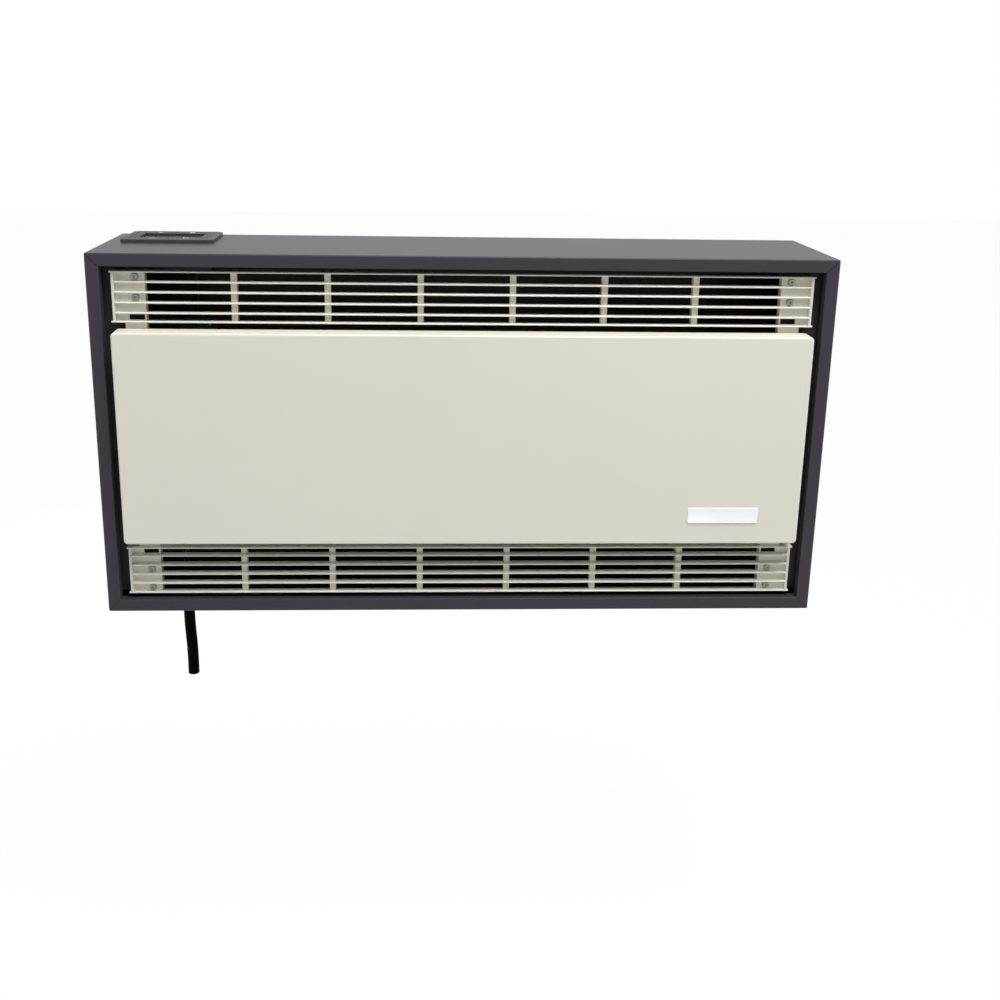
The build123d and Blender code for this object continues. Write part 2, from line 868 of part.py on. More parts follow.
def bearing_mount():
    """The rubber ring between the bush and the left cheek, grooved for the sheet."""
    middle = cheek_left + cheek_sheet / 2
    rubber = ring(mount_radius, bush_radius, middle - mount_length / 2, middle + mount_length / 2)
    groove = ring(mount_radius + over, mount_radius - mount_groove, cheek_left, cheek_left + cheek_sheet)
    return rubber - groove


def motor_stator():
    """The laminated stack: a bore for the rotor above a window for the coil."""
    z0 = fan_z - stator_bottom
    z1 = fan_z + stator_top
    half = stator_width / 2
    stackup = block(motor_left, motor_right, fan_y - half, fan_y + half, z0, z1)
    window = block(
        motor_left - over, motor_right + over, fan_y - half + stator_leg, fan_y + half - stator_leg,
        z0 + stator_bar, z0 + stator_bar + stator_window,
    )
    return stackup - window - axle_bar(rotor_radius + air_gap, motor_left - over, motor_right + over)


def motor_coil():
    """The winding round the stack's lower bar."""
    z0 = fan_z - stator_bottom
    half = stator_width / 2 - stator_leg - coil_gap
    outside = block(
        motor_left - coil_overhang, motor_right + coil_overhang, fan_y - half, fan_y + half,
        z0 - coil_wall, z0 + stator_bar + coil_wall,
    )
    outside = fillet(outside.edges().filter_by(Axis.Y), coil_corner)
    return outside - block(
        motor_left, motor_right, fan_y - half - over, fan_y + half + over, z0, z0 + stator_bar
    )


def motor_rotor():
    """The squirrel-cage rotor, pressed on the shaft."""
    return ring(rotor_radius, shaft_radius, motor_left - rotor_overhang, motor_right + rotor_overhang)


def motor_bridges():
    """Two cast bridges across the stack's faces, each with a bearing boss."""
    half = stator_width / 2
    bridges = []
    for face, way in ((motor_left, -1), (motor_right, 1)):
        outer = face + way * (bridge_lift + bridge_sheet)
        inner = face + way * bridge_lift
        z0, z1 = fan_z - bridge_height / 2, fan_z + bridge_height / 2
        bridge = block(min(face, outer), max(face, outer), fan_y - half, fan_y + half, z0, z1)
        relief = half - stator_leg + coil_gap
        bridge -= block(min(face, inner), max(face, inner), fan_y - relief, fan_y + relief, z0, z1)
        boss_end = inner + way * boss_length
        bore = shaft_radius + bush_wall
        bridge += ring(boss_radius, bore, min(inner, boss_end), max(inner, boss_end))
        bridges.append(bridge - axle_bar(bore, min(face, boss_end), max(face, boss_end)))
    return Compound(bridges)


def motor_bearings():
    """The sintered bushes in the two bridges."""
    outer, inner = shaft_radius + bush_wall, shaft_radius + running_gap
    bushes = []
    for face, way in ((motor_left, -1), (motor_right, 1)):
        near = face + way * bridge_lift
        far = near + way * boss_length
        bushes.append(ring(outer, inner, min(near, far), max(near, far)))
    return Compound(bushes)


def motor_pillars():
    """Four spacers from the right cheek to the stack."""
    half = (stator_width - stator_leg) / 2
    low = fan_z - stator_bottom + stator_bar / 2
    high = fan_z + stator_top - pillar_radius - pillar_edge
    return Compound([
        bar(pillar_radius, (cheek_right + cheek_sheet, y, z), (motor_left, y, z))
        for y in (fan_y - half, fan_y + half) for z in (low, high)
    ])


def element_points():
    """Where the legs of the three hairpins cross a cheek."""
    places = []
    for row in range(3):
        for way in (-1, 1):
            places.append((element_y + way * element_legs / 2, element_top - row * element_pitch))
    return places


def heating_elements():
    """Three sheathed hairpins with cold pins at their right ends."""
    bend_x = cheek_left + cheek_sheet + element_bend_gap + element_legs / 2
    tail = cheek_right + cheek_sheet + element_tail
    loops = []
    for row in range(3):
        z = element_top - row * element_pitch
        near, far = element_y - element_legs / 2, element_y + element_legs / 2
        path = Wire([
            Line((tail, near, z), (bend_x, near, z)),
            ThreePointArc((bend_x, near, z), (bend_x - element_legs / 2, element_y, z), (bend_x, far, z)),
            Line((bend_x, far, z), (tail, far, z)),
        ])
        loop = sweep(Plane(origin=(tail, near, z), z_dir=(-1, 0, 0)) * Circle(element_radius), path)
        for y in (near, far):
            loop += bar(pin_radius, (tail, y, z), (tail + pin_length, y, z))
        loops.append(loop)
    return Compound(loops)


def element_bushes():
    """Grooved ceramic bushes round each leg, in the right cheek."""
    middle = cheek_right + cheek_sheet / 2
    x0, x1 = middle - element_bush_length / 2, middle + element_bush_length / 2
    bushes = []
    for y, z in element_points():
        ends = [
            bar(element_bush_radius, (x0, y, z), (cheek_right, y, z)),
            bar(element_bush_radius, (cheek_right + cheek_sheet, y, z), (x1, y, z)),
        ]
        waist = bar(element_bush_radius - mount_groove, (x0, y, z), (x1, y, z))
        bushes.append(waist + ends - bar(element_radius, (x0 - over, y, z), (x1 + over, y, z)))
    return Compound(bushes)


def element_supports():
    """Holed plates across the duct that carry the hairpins at the bend and mid-span."""
    low = element_top - 2 * element_pitch - element_radius - support_margin
    high = element_top + element_radius + support_margin
    y0 = duct_front + duct_sheet / 2
    y1 = duct_back - duct_sheet / 2
    plates = []
    for x in ((cheek_left + cheek_right) / 2, cheek_left + 3 * element_bend_gap):
        plate = block(x, x + support_sheet, y0, y1, low, high)
        for y, z in element_points():
            plate -= bar(element_radius, (x - over, y, z), (x + support_sheet + over, y, z))
        plates.append(plate)
    return Compound(plates)


def thermal_cutout():
    """The resettable disc thermostat on the outside of the duct's front wall."""
    x = (cheek_left + 2 * cheek_right) / 3
    seat = duct_front - duct_sheet / 2
    z = tongue_bottom + 2 * cutout_radius
    button = seat - cutout_height
    body = bar(cutout_radius, (x, seat, z), (x, button, z))
    return body + bar(pin_radius, (x, button, z), (x, button - cutout_button, z))


def power_board_face():
    """The plane of the power board's component side."""
    return plate_front - spacer_length - board_sheet


def power_board():
    """The power circuit board with its four fixing holes."""
    face = power_board_face()
    board = slab(
        board_corner, power_board_height, power_board_x, power_board_z,
        face, face + board_sheet, power_board_width,
    )
    for x, z in spacer_places():
        board -= bar(screw_radius, (x, face - over, z), (x, face + board_sheet + over, z))
    return board


def spacer_places():
    """Centres of the power board's spacers."""
    half_x = power_board_width / 2 - spacer_inset
    half_z = power_board_height / 2 - spacer_inset
    return [
        (power_board_x + across, power_board_z + up)
        for across in (-half_x, half_x) for up in (-half_z, half_z)
    ]


def board_spacers():
    """Snap-in spacers between the power board and the back plate."""
    spacers = []
    for x, z in spacer_places():
        shoulder = plate_front - spacer_length
        spacer = bar(spacer_radius, (x, plate_front, z), (x, shoulder, z))
        tip = bar(screw_radius, (x, shoulder, z), (x, power_board_face() - board_sheet, z))
        spacers.append(spacer + tip)
    return Compound(spacers)


def power_relays():
    """Three relays on the power board."""
    face = power_board_face()
    relays = []
    for number in (-1, 0, 1):
        x0 = power_board_x + number * relay_pitch - relay_width / 2
        z0 = power_board_z + relay_height / 2
        relay = block(x0, x0 + relay_width, face - relay_depth, face, z0, z0 + relay_height)
        relays.append(chamfer(relay.edges().filter_by(Axis.Y), relay_edge))
    return Compound(relays)


def board_transformer():
    """The potted transformer that feeds the control board."""
    face = power_board_face()
    half = transformer_size / 2
    x, z = power_board_x, power_board_z - relay_height
    body = block(x - half, x + half, face - transformer_depth, face, z - half, z + half)
    return chamfer(body.edges().filter_by(Axis.Y), transformer_edge)


def terminal_block():
    """The three-way terminal block for the mains lead."""
    front_face = plate_front - terminal_depth
    half = terminal_width / 2
    z = terminal_z
    z0, z1 = z - terminal_height / 2, z + terminal_height / 2
    body = block(terminal_x - half, terminal_x + half, front_face, plate_front, z0, z1)
    seat = front_face + head_height + terminal_sink
    for x in terminal_places():
        body -= bar(head_radius + terminal_play, (x, front_face - over, z), (x, seat, z))
        body -= bar(screw_radius, (x, front_face, z), (x, seat + screw_length, z))
        body -= bar(core_radius, (x, terminal_entry_y(), z0 - over), (x, terminal_entry_y(), z))
    return body


def terminal_places():
    """The three ways of the terminal block, across."""
    return [terminal_x + way * terminal_pitch for way in (-1, 0, 1)]


def terminal_entry_y():
    """How far from the wall the wires enter the terminal block."""
    return plate_front - terminal_entry_depth


def terminal_screws():
    """The clamping screws of the three ways."""
    seat = plate_front - terminal_depth + head_height + terminal_sink
    length = terminal_entry_y() - core_radius - terminal_tip_gap - seat
    return Compound([screw((x, seat, terminal_z), (0, 1, 0), length) for x in terminal_places()])


def earth_z():
    """The height of the earth stud, above the terminal block."""
    return terminal_z + terminal_height / 2 + 3 * nut_radius


def earth_stud():
    """The earth stud through the back plate, with its nut."""
    x, z = terminal_x, earth_z()
    stud = bar(earth_radius, (x, -back_gap, z), (x, plate_front - earth_length, z))
    nut = Pos(x, z) * RegularPolygon(nut_radius, 6)
    return stud + extrude(Plane.XZ.offset(-plate_front) * nut, nut_height)


def cord_grip():
    """The strain relief: a flanged bush in the casing floor with a tapered boot."""
    x, y = cord_x, cord_y
    bore = cord_radius + cord_play
    outer_face = bottom - grip_flange_height
    inner_face = bottom + sheet
    body = bar(grip_flange, (x, y, outer_face), (x, y, bottom))
    body += bar(grip_radius, (x, y, bottom), (x, y, inner_face))
    body += bar(grip_flange, (x, y, inner_face), (x, y, inner_face + grip_flange_height))
    boot = Cone(
        bore + grip_boot_wall, bore + grip_tip_wall, grip_boot - grip_flange_height,
        align=(Align.CENTER, Align.CENTER, Align.MIN),
    )
    body += Plane(origin=(x, y, outer_face), z_dir=(0, 0, -1)) * boot
    upper_end = inner_face + grip_flange_height
    return body - bar(bore, (x, y, bottom - grip_boot - over), (x, y, upper_end + over))


def rounded_path(route):
    """Straight runs joined by arcs as large as the shorter run beside each corner allows."""
    points = [Vector(*point) for point in route]
    radii = []
    for before, corner, after in zip(points, points[1:], points[2:]):
        arriving = corner - before
        leaving = after - corner
        half_turn = math.radians(arriving.get_angle(leaving) / 2)
        radii.append(bend_share * min(arriving.length, leaving.length) / math.tan(half_turn))
    return FilletPolyline(*points, radius=radii)


def tube(radius, route):
    """A round cord along a route."""
    path = rounded_path(route)
    return sweep(Plane(origin=path @ 0, z_dir=path % 0) * Circle(radius), path)


def mains_lead():
    """The sheathed lead, from inside the grip down to its cut end."""
    return tube(cord_radius, cord_route)


def lead_core(place):
    """One core from the sheath's inner end to its way of the terminal block."""
    turn = math.radians(210 - 120 * place)
    x = cord_x + core_spread * math.cos(turn)
    y = cord_y + core_spread * math.sin(turn)
    start = bottom + cord_inside
    end_x = terminal_places()[place]
    end_y = terminal_entry_y()
    low = terminal_z - terminal_height / 2
    straight = (low - start) * core_straight
    return tube(core_radius, [
        (x, y, start), (x, y, start + straight),
        (end_x, end_y, low - straight), (end_x, end_y, low + core_entry),
    ])


def control_bezel():
    """The raised frame on the casing top, with a skirt down through the cut-out."""
    x, y = bezel_x, bezel_y
    outline = RectangleRounded(bezel_width, bezel_length, bezel_corner)
    frame = extrude(Pos(x, y, top) * outline, bezel_height)
    frame = fillet([edge for edge in frame.edges() if edge.center().Z > key_top - 0.01], bezel_edge)
    skirt = RectangleRounded(skirt_width, skirt_length, bezel_corner - skirt_inset)
    frame += extrude(Pos(x, y, top - skirt_depth) * skirt, skirt_depth)
    hollow = Rectangle(skirt_width - 2 * skirt_wall, skirt_length - 2 * skirt_wall)
    frame -= extrude(Pos(x, y, top - skirt_depth - over) * hollow, skirt_depth + over + ledge_height())
    mouth = RectangleRounded(
        insert_width + key_gap, insert_length + key_gap, insert_corner + key_gap / 2
    )
    return frame - extrude(Pos(x, y, top - over) * mouth, bezel_height + 2 * over)


def ledge_height():
    """How far above the casing top the bezel's inner ledge is, which keeps the keys in."""
    return bezel_height - key_sheet + key_lip_gap


def key_cap(way_x, way_y):
    """An L-shaped key round one corner of the display, with its lip and stem."""
    x1, y1 = insert_width / 2, insert_length / 2
    hole_x, hole_y = window_width / 2 + key_gap / 2, window_length / 2 + key_gap / 2
    gap = key_gap / 2
    under = bezel_height - key_sheet
    body = extrude(Pos(0, 0, under) * rectangle_between(gap, x1, gap, y1), key_sheet)
    upright = body.edges().filter_by(Axis.Z)
    body = fillet(upright.group_by(lambda edge: edge.center().X + edge.center().Y)[-1], insert_corner)
    lip_foot = under - key_lip_height
    hole = rectangle_between(0, hole_x, 0, hole_y)
    window = extrude(Pos(0, 0, lip_foot - over) * hole, bezel_height - lip_foot + 2 * over)
    body -= window
    body = chamfer([edge for edge in body.edges() if edge.center().Z > bezel_height - 0.01], key_edge)
    lip = rectangle_between(gap, x1 + key_lip, gap, y1 + key_lip)
    body += extrude(Pos(0, 0, lip_foot) * lip, key_lip_height) - window
    stem_bottom = switch_top() - stem_entry - top
    stem_x, stem_y = x1 - stem_inset_x, y1 - stem_inset_y
    body += bar(stem_radius, (stem_x, stem_y, stem_bottom), (stem_x, stem_y, under))
    if way_x < 0:
        body = mirror(body, about=Plane.YZ)
    if way_y < 0:
        body = mirror(body, about=Plane.XZ)
    return Pos(bezel_x, bezel_y, top) * body


def switch_top():
    """The height of the key switches' upper faces."""
    return board_top + switch_height


def key_switches():
    """Four push switches on the control board, each with a bore for its key's stem."""
    switches = []
    half = switch_size / 2
    for way_x in (-1, 1):
        for way_y in (-1, 1):
            x = bezel_x + way_x * (insert_width / 2 - stem_inset_x)
            y = bezel_y + way_y * (insert_length / 2 - stem_inset_y)
            switch = block(x - half, x + half, y - half, y + half, board_top, switch_top())
            bore_floor = switch_top() - stem_entry - key_travel - stem_room
            switches.append(switch - bar(switch_bore, (x, y, bore_floor), (x, y, switch_top() + over)))
    return Compound(switches)


def control_housing():
    """The tray under the bezel that holds the control board on four posts."""
    rim = top - skirt_depth
    floor = rim - tray_depth
    outside = RectangleRounded(skirt_width, skirt_length, bezel_corner - skirt_inset)
    inside = Rectangle(skirt_width - 2 * tray_wall, skirt_length - 2 * tray_wall)
    tray = extrude(Pos(bezel_x, bezel_y, floor) * outside, tray_depth)
    tray -= extrude(Pos(bezel_x, bezel_y, floor + tray_wall) * inside, tray_depth)
    for x, y in post_places():
        tray += bar(post_radius, (x, y, floor + tray_wall / 2), (x, y, board_top - board_sheet))
    x, y = cable_exit()
    return tray - bar(cable_radius, (x, y, floor - over), (x, y, floor + tray_wall + over))


def post_places():
    """Centres of the tray's posts, under the board's corners."""
    half_x = skirt_width / 2 - tray_wall - 2 * post_radius
    half_y = skirt_length / 2 - tray_wall - 2 * post_radius
    return [
        (bezel_x + across, bezel_y + back)
        for across in (-half_x, half_x) for back in (-half_y, half_y)
    ]


def control_board():
    """The circuit board that carries the keys' switches and the display."""
    breadth = skirt_width - 2 * tray_wall - 2 * tray_gap
    length = skirt_length - 2 * tray_wall - 2 * tray_gap
    return extrude(Pos(bezel_x, bezel_y, board_top - board_sheet) * Rectangle(breadth, length), board_sheet)


def display_top():
    """The height of the display window's upper face."""
    return key_top - window_recess


def display_frame():
    """The tube that stands on the control board and holds the display and its window."""
    rim = display_top() - window_sheet
    ledge = rim - module_air - module_sheet
    outline = RectangleRounded(window_width, window_length, window_corner)
    frame = extrude(Pos(bezel_x, bezel_y, board_top) * outline, rim - board_top)
    breadth, length = window_width - 2 * frame_wall, window_length - 2 * frame_wall
    frame -= extrude(Pos(bezel_x, bezel_y, ledge) * Rectangle(breadth, length), rim)
    opening = Rectangle(breadth - 2 * frame_ledge, length - 2 * frame_ledge)
    return frame - extrude(Pos(bezel_x, bezel_y, board_top - over) * opening, rim)


def display_module():
    """The liquid-crystal module on the frame's ledge."""
    base = display_top() - window_sheet - module_air - module_sheet
    breadth = window_width - 2 * frame_wall - 2 * module_gap
    length = window_length - 2 * frame_wall - 2 * module_gap
    return extrude(Pos(bezel_x, bezel_y, base) * Rectangle(breadth, length), module_sheet)


def display_window():
    """The clear window on the frame's rim."""
    face = RectangleRounded(window_width, window_length, window_corner)
    return extrude(Pos(bezel_x, bezel_y, display_top() - window_sheet) * face, window_sheet)


def cable_exit():
    """Where the control cable leaves the tray's floor."""
    return (bezel_x + insert_width / 4, bezel_y + insert_length / 6)


def control_cable():
    """The cable from the control board down to the power board."""
    x, y = cable_exit()
    floor = top - skirt_depth - tray_depth
    end_z = power_board_z + power_board_height / 2 - 2 * cable_radius
    quarter = (floor - end_z) / 4
    face = power_board_face()
    near = face - cable_stand_off
    return tube(cable_radius, [
        (x, y, board_top - board_sheet), (x, y, floor - quarter), (x - cable_drift, near, end_z + quarter),
        (x - 2 * cable_drift, near, end_z), (x - 2 * cable_drift, face, end_z),
    ])


def build_nodes():
    """Every separate piece, by name."""
    nodes = {
        "casing": casing(),
        "back_plate": back_plate(),
        "wall_bracket": wall_bracket(),
        "casing_screws": screws_in(casing_screw_seats()),
        "chassis_screws": screws_in(lock_screw_seats() + cheek_screw_seats()),
        "mounting_rails": Compound(both_sides(mounting_rail())),
        "end_bracket_right": end_bracket(),
        "end_bracket_left": mirror(end_bracket(), about=Plane.YZ),
        "grille_screws": grille_screws(),
        "top_grille_blades": blades(1),
        "top_grille_combs": combs(1),
        "bottom_grille_blades": blades(-1),
        "bottom_grille_combs": combs(-1),
        "front_panel": front_panel(),
        "panel_clips": panel_clips(),
        "scroll_housing": scroll_housing(),
        "vortex_tongue": vortex_tongue(),
        "outlet_hood": outlet_hood(),
        "outlet_deflector": outlet_deflector(),
        "blower_cheek_left": cheek_left_plate(),
        "blower_cheek_right": cheek_right_plate(),
        "impeller": impeller(),
        "fan_stub": fan_stub(),
        "fan_shaft": fan_shaft(),
        "stub_bearing": stub_bearing(),
        "bearing_mount": bearing_mount(),
        "motor_stator": motor_stator(),
        "motor_coil": motor_coil(),
        "motor_rotor": motor_rotor(),
        "motor_bridges": motor_bridges(),
        "motor_bearings": motor_bearings(),
        "motor_pillars": motor_pillars(),
        "heating_elements": heating_elements(),
        "element_bushes": element_bushes(),
        "element_supports": element_supports(),
        "thermal_cutout": thermal_cutout(),
        "power_board": power_board(),
        "board_spacers": board_spacers(),
        "power_relays": power_relays(),
        "board_transformer": board_transformer(),
        "terminal_block": terminal_block(),
        "terminal_screws": terminal_screws(),
        "earth_stud": earth_stud(),
        "cord_grip": cord_grip(),
        "mains_lead": mains_lead(),
        "control_bezel": control_bezel(),
        "control_housing": control_housing(),
        "control_board": control_board(),
        "key_switches": key_switches(),
        "display_frame": display_frame(),
        "display_module": display_module(),
        "display_window": display_window(),
        "control_cable": control_cable(),
    }
    for place, colour in enumerate(("brown", "earth", "blue")):
        nodes["lead_core_" + colour] = lead_core(place)
    for name, way_x, way_y in (("plus", -1, 1), ("menu", 1, 1), ("minus", -1, -1)):
        nodes["key_" + name] = key_cap(way_x, way_y)
    nodes["key_power"] = key_cap(1, -1)
    return nodes


os.makedirs("parts", exist_ok=True)
for node_name, shape in build_nodes().items():
    export_step(shape, "parts/" + node_name + ".step")
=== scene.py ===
import json
import math

import bpy
from mathutils import Matrix, Vector


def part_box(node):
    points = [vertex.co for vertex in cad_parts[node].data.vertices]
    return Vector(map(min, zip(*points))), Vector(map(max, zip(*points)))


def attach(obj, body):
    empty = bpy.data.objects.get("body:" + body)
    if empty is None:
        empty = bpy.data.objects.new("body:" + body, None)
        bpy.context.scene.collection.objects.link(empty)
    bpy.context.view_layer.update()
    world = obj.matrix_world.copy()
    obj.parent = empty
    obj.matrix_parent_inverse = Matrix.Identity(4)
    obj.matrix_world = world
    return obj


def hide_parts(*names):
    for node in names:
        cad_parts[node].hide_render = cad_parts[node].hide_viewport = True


# The wall heater's looks. Everything is in metres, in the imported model's own frame:
# X to the viewer's right, Y into the wall, Z up, with the front facing -Y.
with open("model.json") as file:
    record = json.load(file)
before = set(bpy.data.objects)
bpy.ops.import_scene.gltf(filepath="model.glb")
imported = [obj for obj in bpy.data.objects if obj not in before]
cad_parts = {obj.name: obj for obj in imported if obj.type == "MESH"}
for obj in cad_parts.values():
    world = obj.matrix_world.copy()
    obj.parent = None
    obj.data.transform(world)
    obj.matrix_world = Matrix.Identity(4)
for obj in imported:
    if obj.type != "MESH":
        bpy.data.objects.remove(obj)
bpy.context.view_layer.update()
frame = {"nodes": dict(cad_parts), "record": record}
scene = bpy.context.scene
scene.view_settings.view_transform = "Standard"

MM = 0.001

# Camera
CAMERA_PLACE = (-0.04292, -1.22106, 0.31954)
CAMERA_RIGHT = Vector((0.998878, -0.044623, 0.015838))
CAMERA_UP = Vector((-0.003209, 0.269927, 0.962876))
CAMERA_LENS = 43.32
CAMERA_SHIFT = (0.0237, -0.0776)


def studio_camera():
    """A camera a little above the heater, turned slightly to its left end."""
    data = bpy.data.cameras.new("studio_camera")
    data.lens = CAMERA_LENS
    data.sensor_width = 36.0
    data.shift_x, data.shift_y = CAMERA_SHIFT
    data.clip_start = 0.01
    data.clip_end = 50.0
    camera = bpy.data.objects.new("studio_camera", data)
    scene.collection.objects.link(camera)
    back = CAMERA_RIGHT.cross(CAMERA_UP)
    turn = Matrix((CAMERA_RIGHT, CAMERA_UP, back)).transposed().to_4x4()
    camera.matrix_world = Matrix.Translation(CAMERA_PLACE) @ turn
    scene.camera = camera


studio_camera()


# Shader arithmetic
class Tone:
    """An output of a material's node. Arithmetic on it adds Math nodes."""

    def __init__(self, tree, socket):
        self.tree = tree
        self.socket = socket

    def node(self, kind, settings=None, sockets=None, out=0):
        """Adds a node: its settings first, then the values or links of its sockets."""
        made = self.tree.nodes.new(kind)
        for name, value in (settings or {}).items():
            if name == "stops":
                set_stops(made.color_ramp, value)
            else:
                setattr(made, name, value)
        for name, value in (sockets or {}).items():
            feed(self.tree, made.inputs[name], value)
        return Tone(self.tree, made.outputs[out])

    def maths(self, operation, *values):
        sockets = dict(enumerate(values))
        return self.node("ShaderNodeMath", {"operation": operation}, sockets)

    def __add__(self, other):
        return self.maths("ADD", self, other)

    def __radd__(self, other):
        return self.maths("ADD", other, self)

    def __mul__(self, other):
        return self.maths("MULTIPLY", self, other)

    def __rmul__(self, other):
        return self.maths("MULTIPLY", other, self)

    def mix(self, low, high):
        """A colour between low and high, by this value."""
        settings = {"data_type": "RGBA"}
        return self.node("ShaderNodeMix", settings, {0: self, 6: low, 7: high}, 2)

    def ramp(self, *stops):
        """This value through a ramp of (place, grey) stops."""
        return self.node("ShaderNodeValToRGB", {"stops": stops}, {0: self})

    def noise(self, scale, detail=2.0, roughness=0.5):
        sockets = {"Vector": self, "Scale": scale, "Detail": detail, "Roughness": roughness}
        return self.node("ShaderNodeTexNoise", {}, sockets)

    def stretch(self, *scale):
        """Coordinates stretched along each axis."""
        return self.node("ShaderNodeMapping", {}, {"Vector": self, "Scale": scale})

    def cells(self, scale, feature="F1", out=0):
        settings = {"feature": feature}
        return self.node("ShaderNodeTexVoronoi", settings, {"Vector": self, "Scale": scale}, out)

    def bump(self, strength, distance):
        """A normal from this height."""
        sockets = {"Strength": strength, "Distance": distance, "Height": self}
        return self.node("ShaderNodeBump", {}, sockets)


def set_stops(ramp, stops):
    """Puts grey stops on a colour ramp."""
    while len(ramp.elements) < len(stops):
        ramp.elements.new(1.0)
    for element, (place, grey) in zip(ramp.elements, stops):
        element.position = place
        element.color = (grey, grey, grey, 1.0)


def feed(tree, socket, value):
    """Links a tone to a socket, or writes a plain value on it."""
    if isinstance(value, Tone):
        tree.links.new(value.socket, socket)
    elif hasattr(value, "__len__") and socket.type == "RGBA":
        socket.default_value = (*value[:3], 1.0)
    else:
        socket.default_value = value


class Finish:
    """A new material with its surface shader, ready to be given tones."""

    def __init__(self, name):
        self.material = bpy.data.materials.new(name)
        self.material.use_nodes = True
        self.tree = self.material.node_tree
        self.shader = self.tree.nodes["Principled BSDF"]
        place = self.tree.nodes.new("ShaderNodeTexCoord")
        self.place = Tone(self.tree, place.outputs["Object"])

    def set(self, **values):
        """Sets the shader's sockets, named with underscores for spaces."""
        for name, value in values.items():
            feed(self.tree, self.shader.inputs[name.replace("_", " ")], value)
        return self


def grade(colour, factor):
    """The colour, lighter or darker."""
    return tuple(min(channel * factor, 1.0) for channel in colour)


# Finishes
def powder_coat(name, colour, grain, roughness, drift=0.05, specular=0.5):
    """Stoved powder coat: a faint orange peel and a very slow drift of tone."""
    finish = Finish(name)
    slow = finish.place.noise(7.0, 3.0)
    fine = finish.place.noise(grain, 2.0)
    speck = finish.place.noise(grain * 3.1, 1.0)
    shade = slow * 0.75 + fine * 0.25
    peel = fine * 0.7 + speck * 0.3
    finish.set(
        Base_Color=shade.mix(grade(colour, 1 - drift), grade(colour, 1 + drift)),
        Roughness=fine * 0.10 + (roughness - 0.05),
        Specular_IOR_Level=specular,
        Normal=peel.bump(0.35, 0.00012),
    )
    return finish.material


def zinc_coat(name, tint):
    """Galvanised sheet: dull spangles a few millimetres across."""
    finish = Finish(name)
    spangle = finish.place.cells(140.0, out=1)
    split = spangle.node("ShaderNodeSeparateColor", {}, {0: spangle})
    haze = finish.place.noise(25.0, 4.0)
    shade = split * 0.6 + haze * 0.4
    finish.set(
        Base_Color=shade.mix(grade(tint, 0.72), grade(tint, 1.12)),
        Metallic=0.85,
        Roughness=shade.ramp((0.2, 0.34), (0.8, 0.56)),
        Normal=haze.bump(0.08, 0.0003),
    )
    return finish.material


def turned_metal(name, tint, roughness):
    """Drawn or turned metal: fine streaks along the piece."""
    finish = Finish(name)
    streak = finish.place.stretch(1.0, 14.0, 14.0).noise(260.0, 3.0, 0.6)
    haze = finish.place.noise(60.0, 3.0)
    shade = streak * 0.6 + haze * 0.4
    finish.set(
        Base_Color=shade.mix(grade(tint, 0.80), grade(tint, 1.10)),
        Metallic=1.0,
        Roughness=shade.ramp((0.2, roughness - 0.08), (0.8, roughness + 0.10)),
        Normal=streak.bump(0.10, 0.00005),
    )
    return finish.material


def moulding(name, colour, grain, roughness, depth=0.00008, drift=0.08, specular=0.5):
    """Moulded plastic or rubber with a spark-eroded texture."""
    finish = Finish(name)
    grains = finish.place.cells(grain)
    cloud = finish.place.noise(35.0, 3.0)
    height = grains * 0.7 + cloud * 0.3
    finish.set(
        Base_Color=cloud.mix(grade(colour, 1 - drift), grade(colour, 1 + drift)),
        Roughness=grains * 0.12 + (roughness - 0.04),
        Specular_IOR_Level=specular,
        Normal=height.bump(0.35, depth),
    )
    return finish.material


def laminations(name, tint):
    """A stack of thin steel laminations across X."""
    finish = Finish(name)
    lines = finish.place.stretch(1.0, 0.02, 0.02).noise(1800.0, 1.0)
    haze = finish.place.noise(80.0, 3.0)
    shade = lines * 0.6 + haze * 0.4
    finish.set(
        Base_Color=shade.mix(grade(tint, 0.6), grade(tint, 1.2)),
        Metallic=0.7,
        Roughness=shade.ramp((0.2, 0.42), (0.8, 0.62)),
        Normal=lines.bump(0.5, 0.0002),
    )
    return finish.material


def heat_tinted(name):
    """Stainless sheath, browned and blued by use."""
    finish = Finish(name)
    bands = finish.place.stretch(1.0, 0.3, 0.3).noise(24.0, 3.0)
    fine = finish.place.noise(700.0, 2.0)
    finish.set(
        Base_Color=bands.mix((0.20, 0.15, 0.11), (0.24, 0.25, 0.30)),
        Metallic=0.9,
        Roughness=bands.ramp((0.3, 0.38), (0.7, 0.52)),
        Normal=fine.bump(0.1, 0.00005),
    )
    return finish.material


def circuit_board(name, colour):
    """Solder-masked board with faint tracks."""
    finish = Finish(name)
    tracks = finish.place.stretch(1.0, 0.05, 1.0).cells(420.0, "DISTANCE_TO_EDGE")
    cloud = finish.place.noise(90.0, 3.0)
    line = tracks.ramp((0.05, 1.0), (0.11, 0.0))
    finish.set(
        Base_Color=line.mix(grade(colour, 0.9), grade(colour, 1.8)),
        Roughness=cloud * 0.15 + 0.30,
        Normal=line.bump(0.2, 0.00006),
    )
    return finish.material


def striped_core(name):
    """Green core insulation with a yellow stripe."""
    finish = Finish(name)
    wave = finish.place.noise(120.0, 1.0)
    stripe = wave.ramp((0.47, 0.0), (0.53, 1.0))
    finish.set(
        Base_Color=stripe.mix((0.03, 0.30, 0.05), (0.75, 0.62, 0.04)),
        Roughness=wave * 0.1 + 0.4,
        Normal=wave.bump(0.05, 0.0001),
    )
    return finish.material


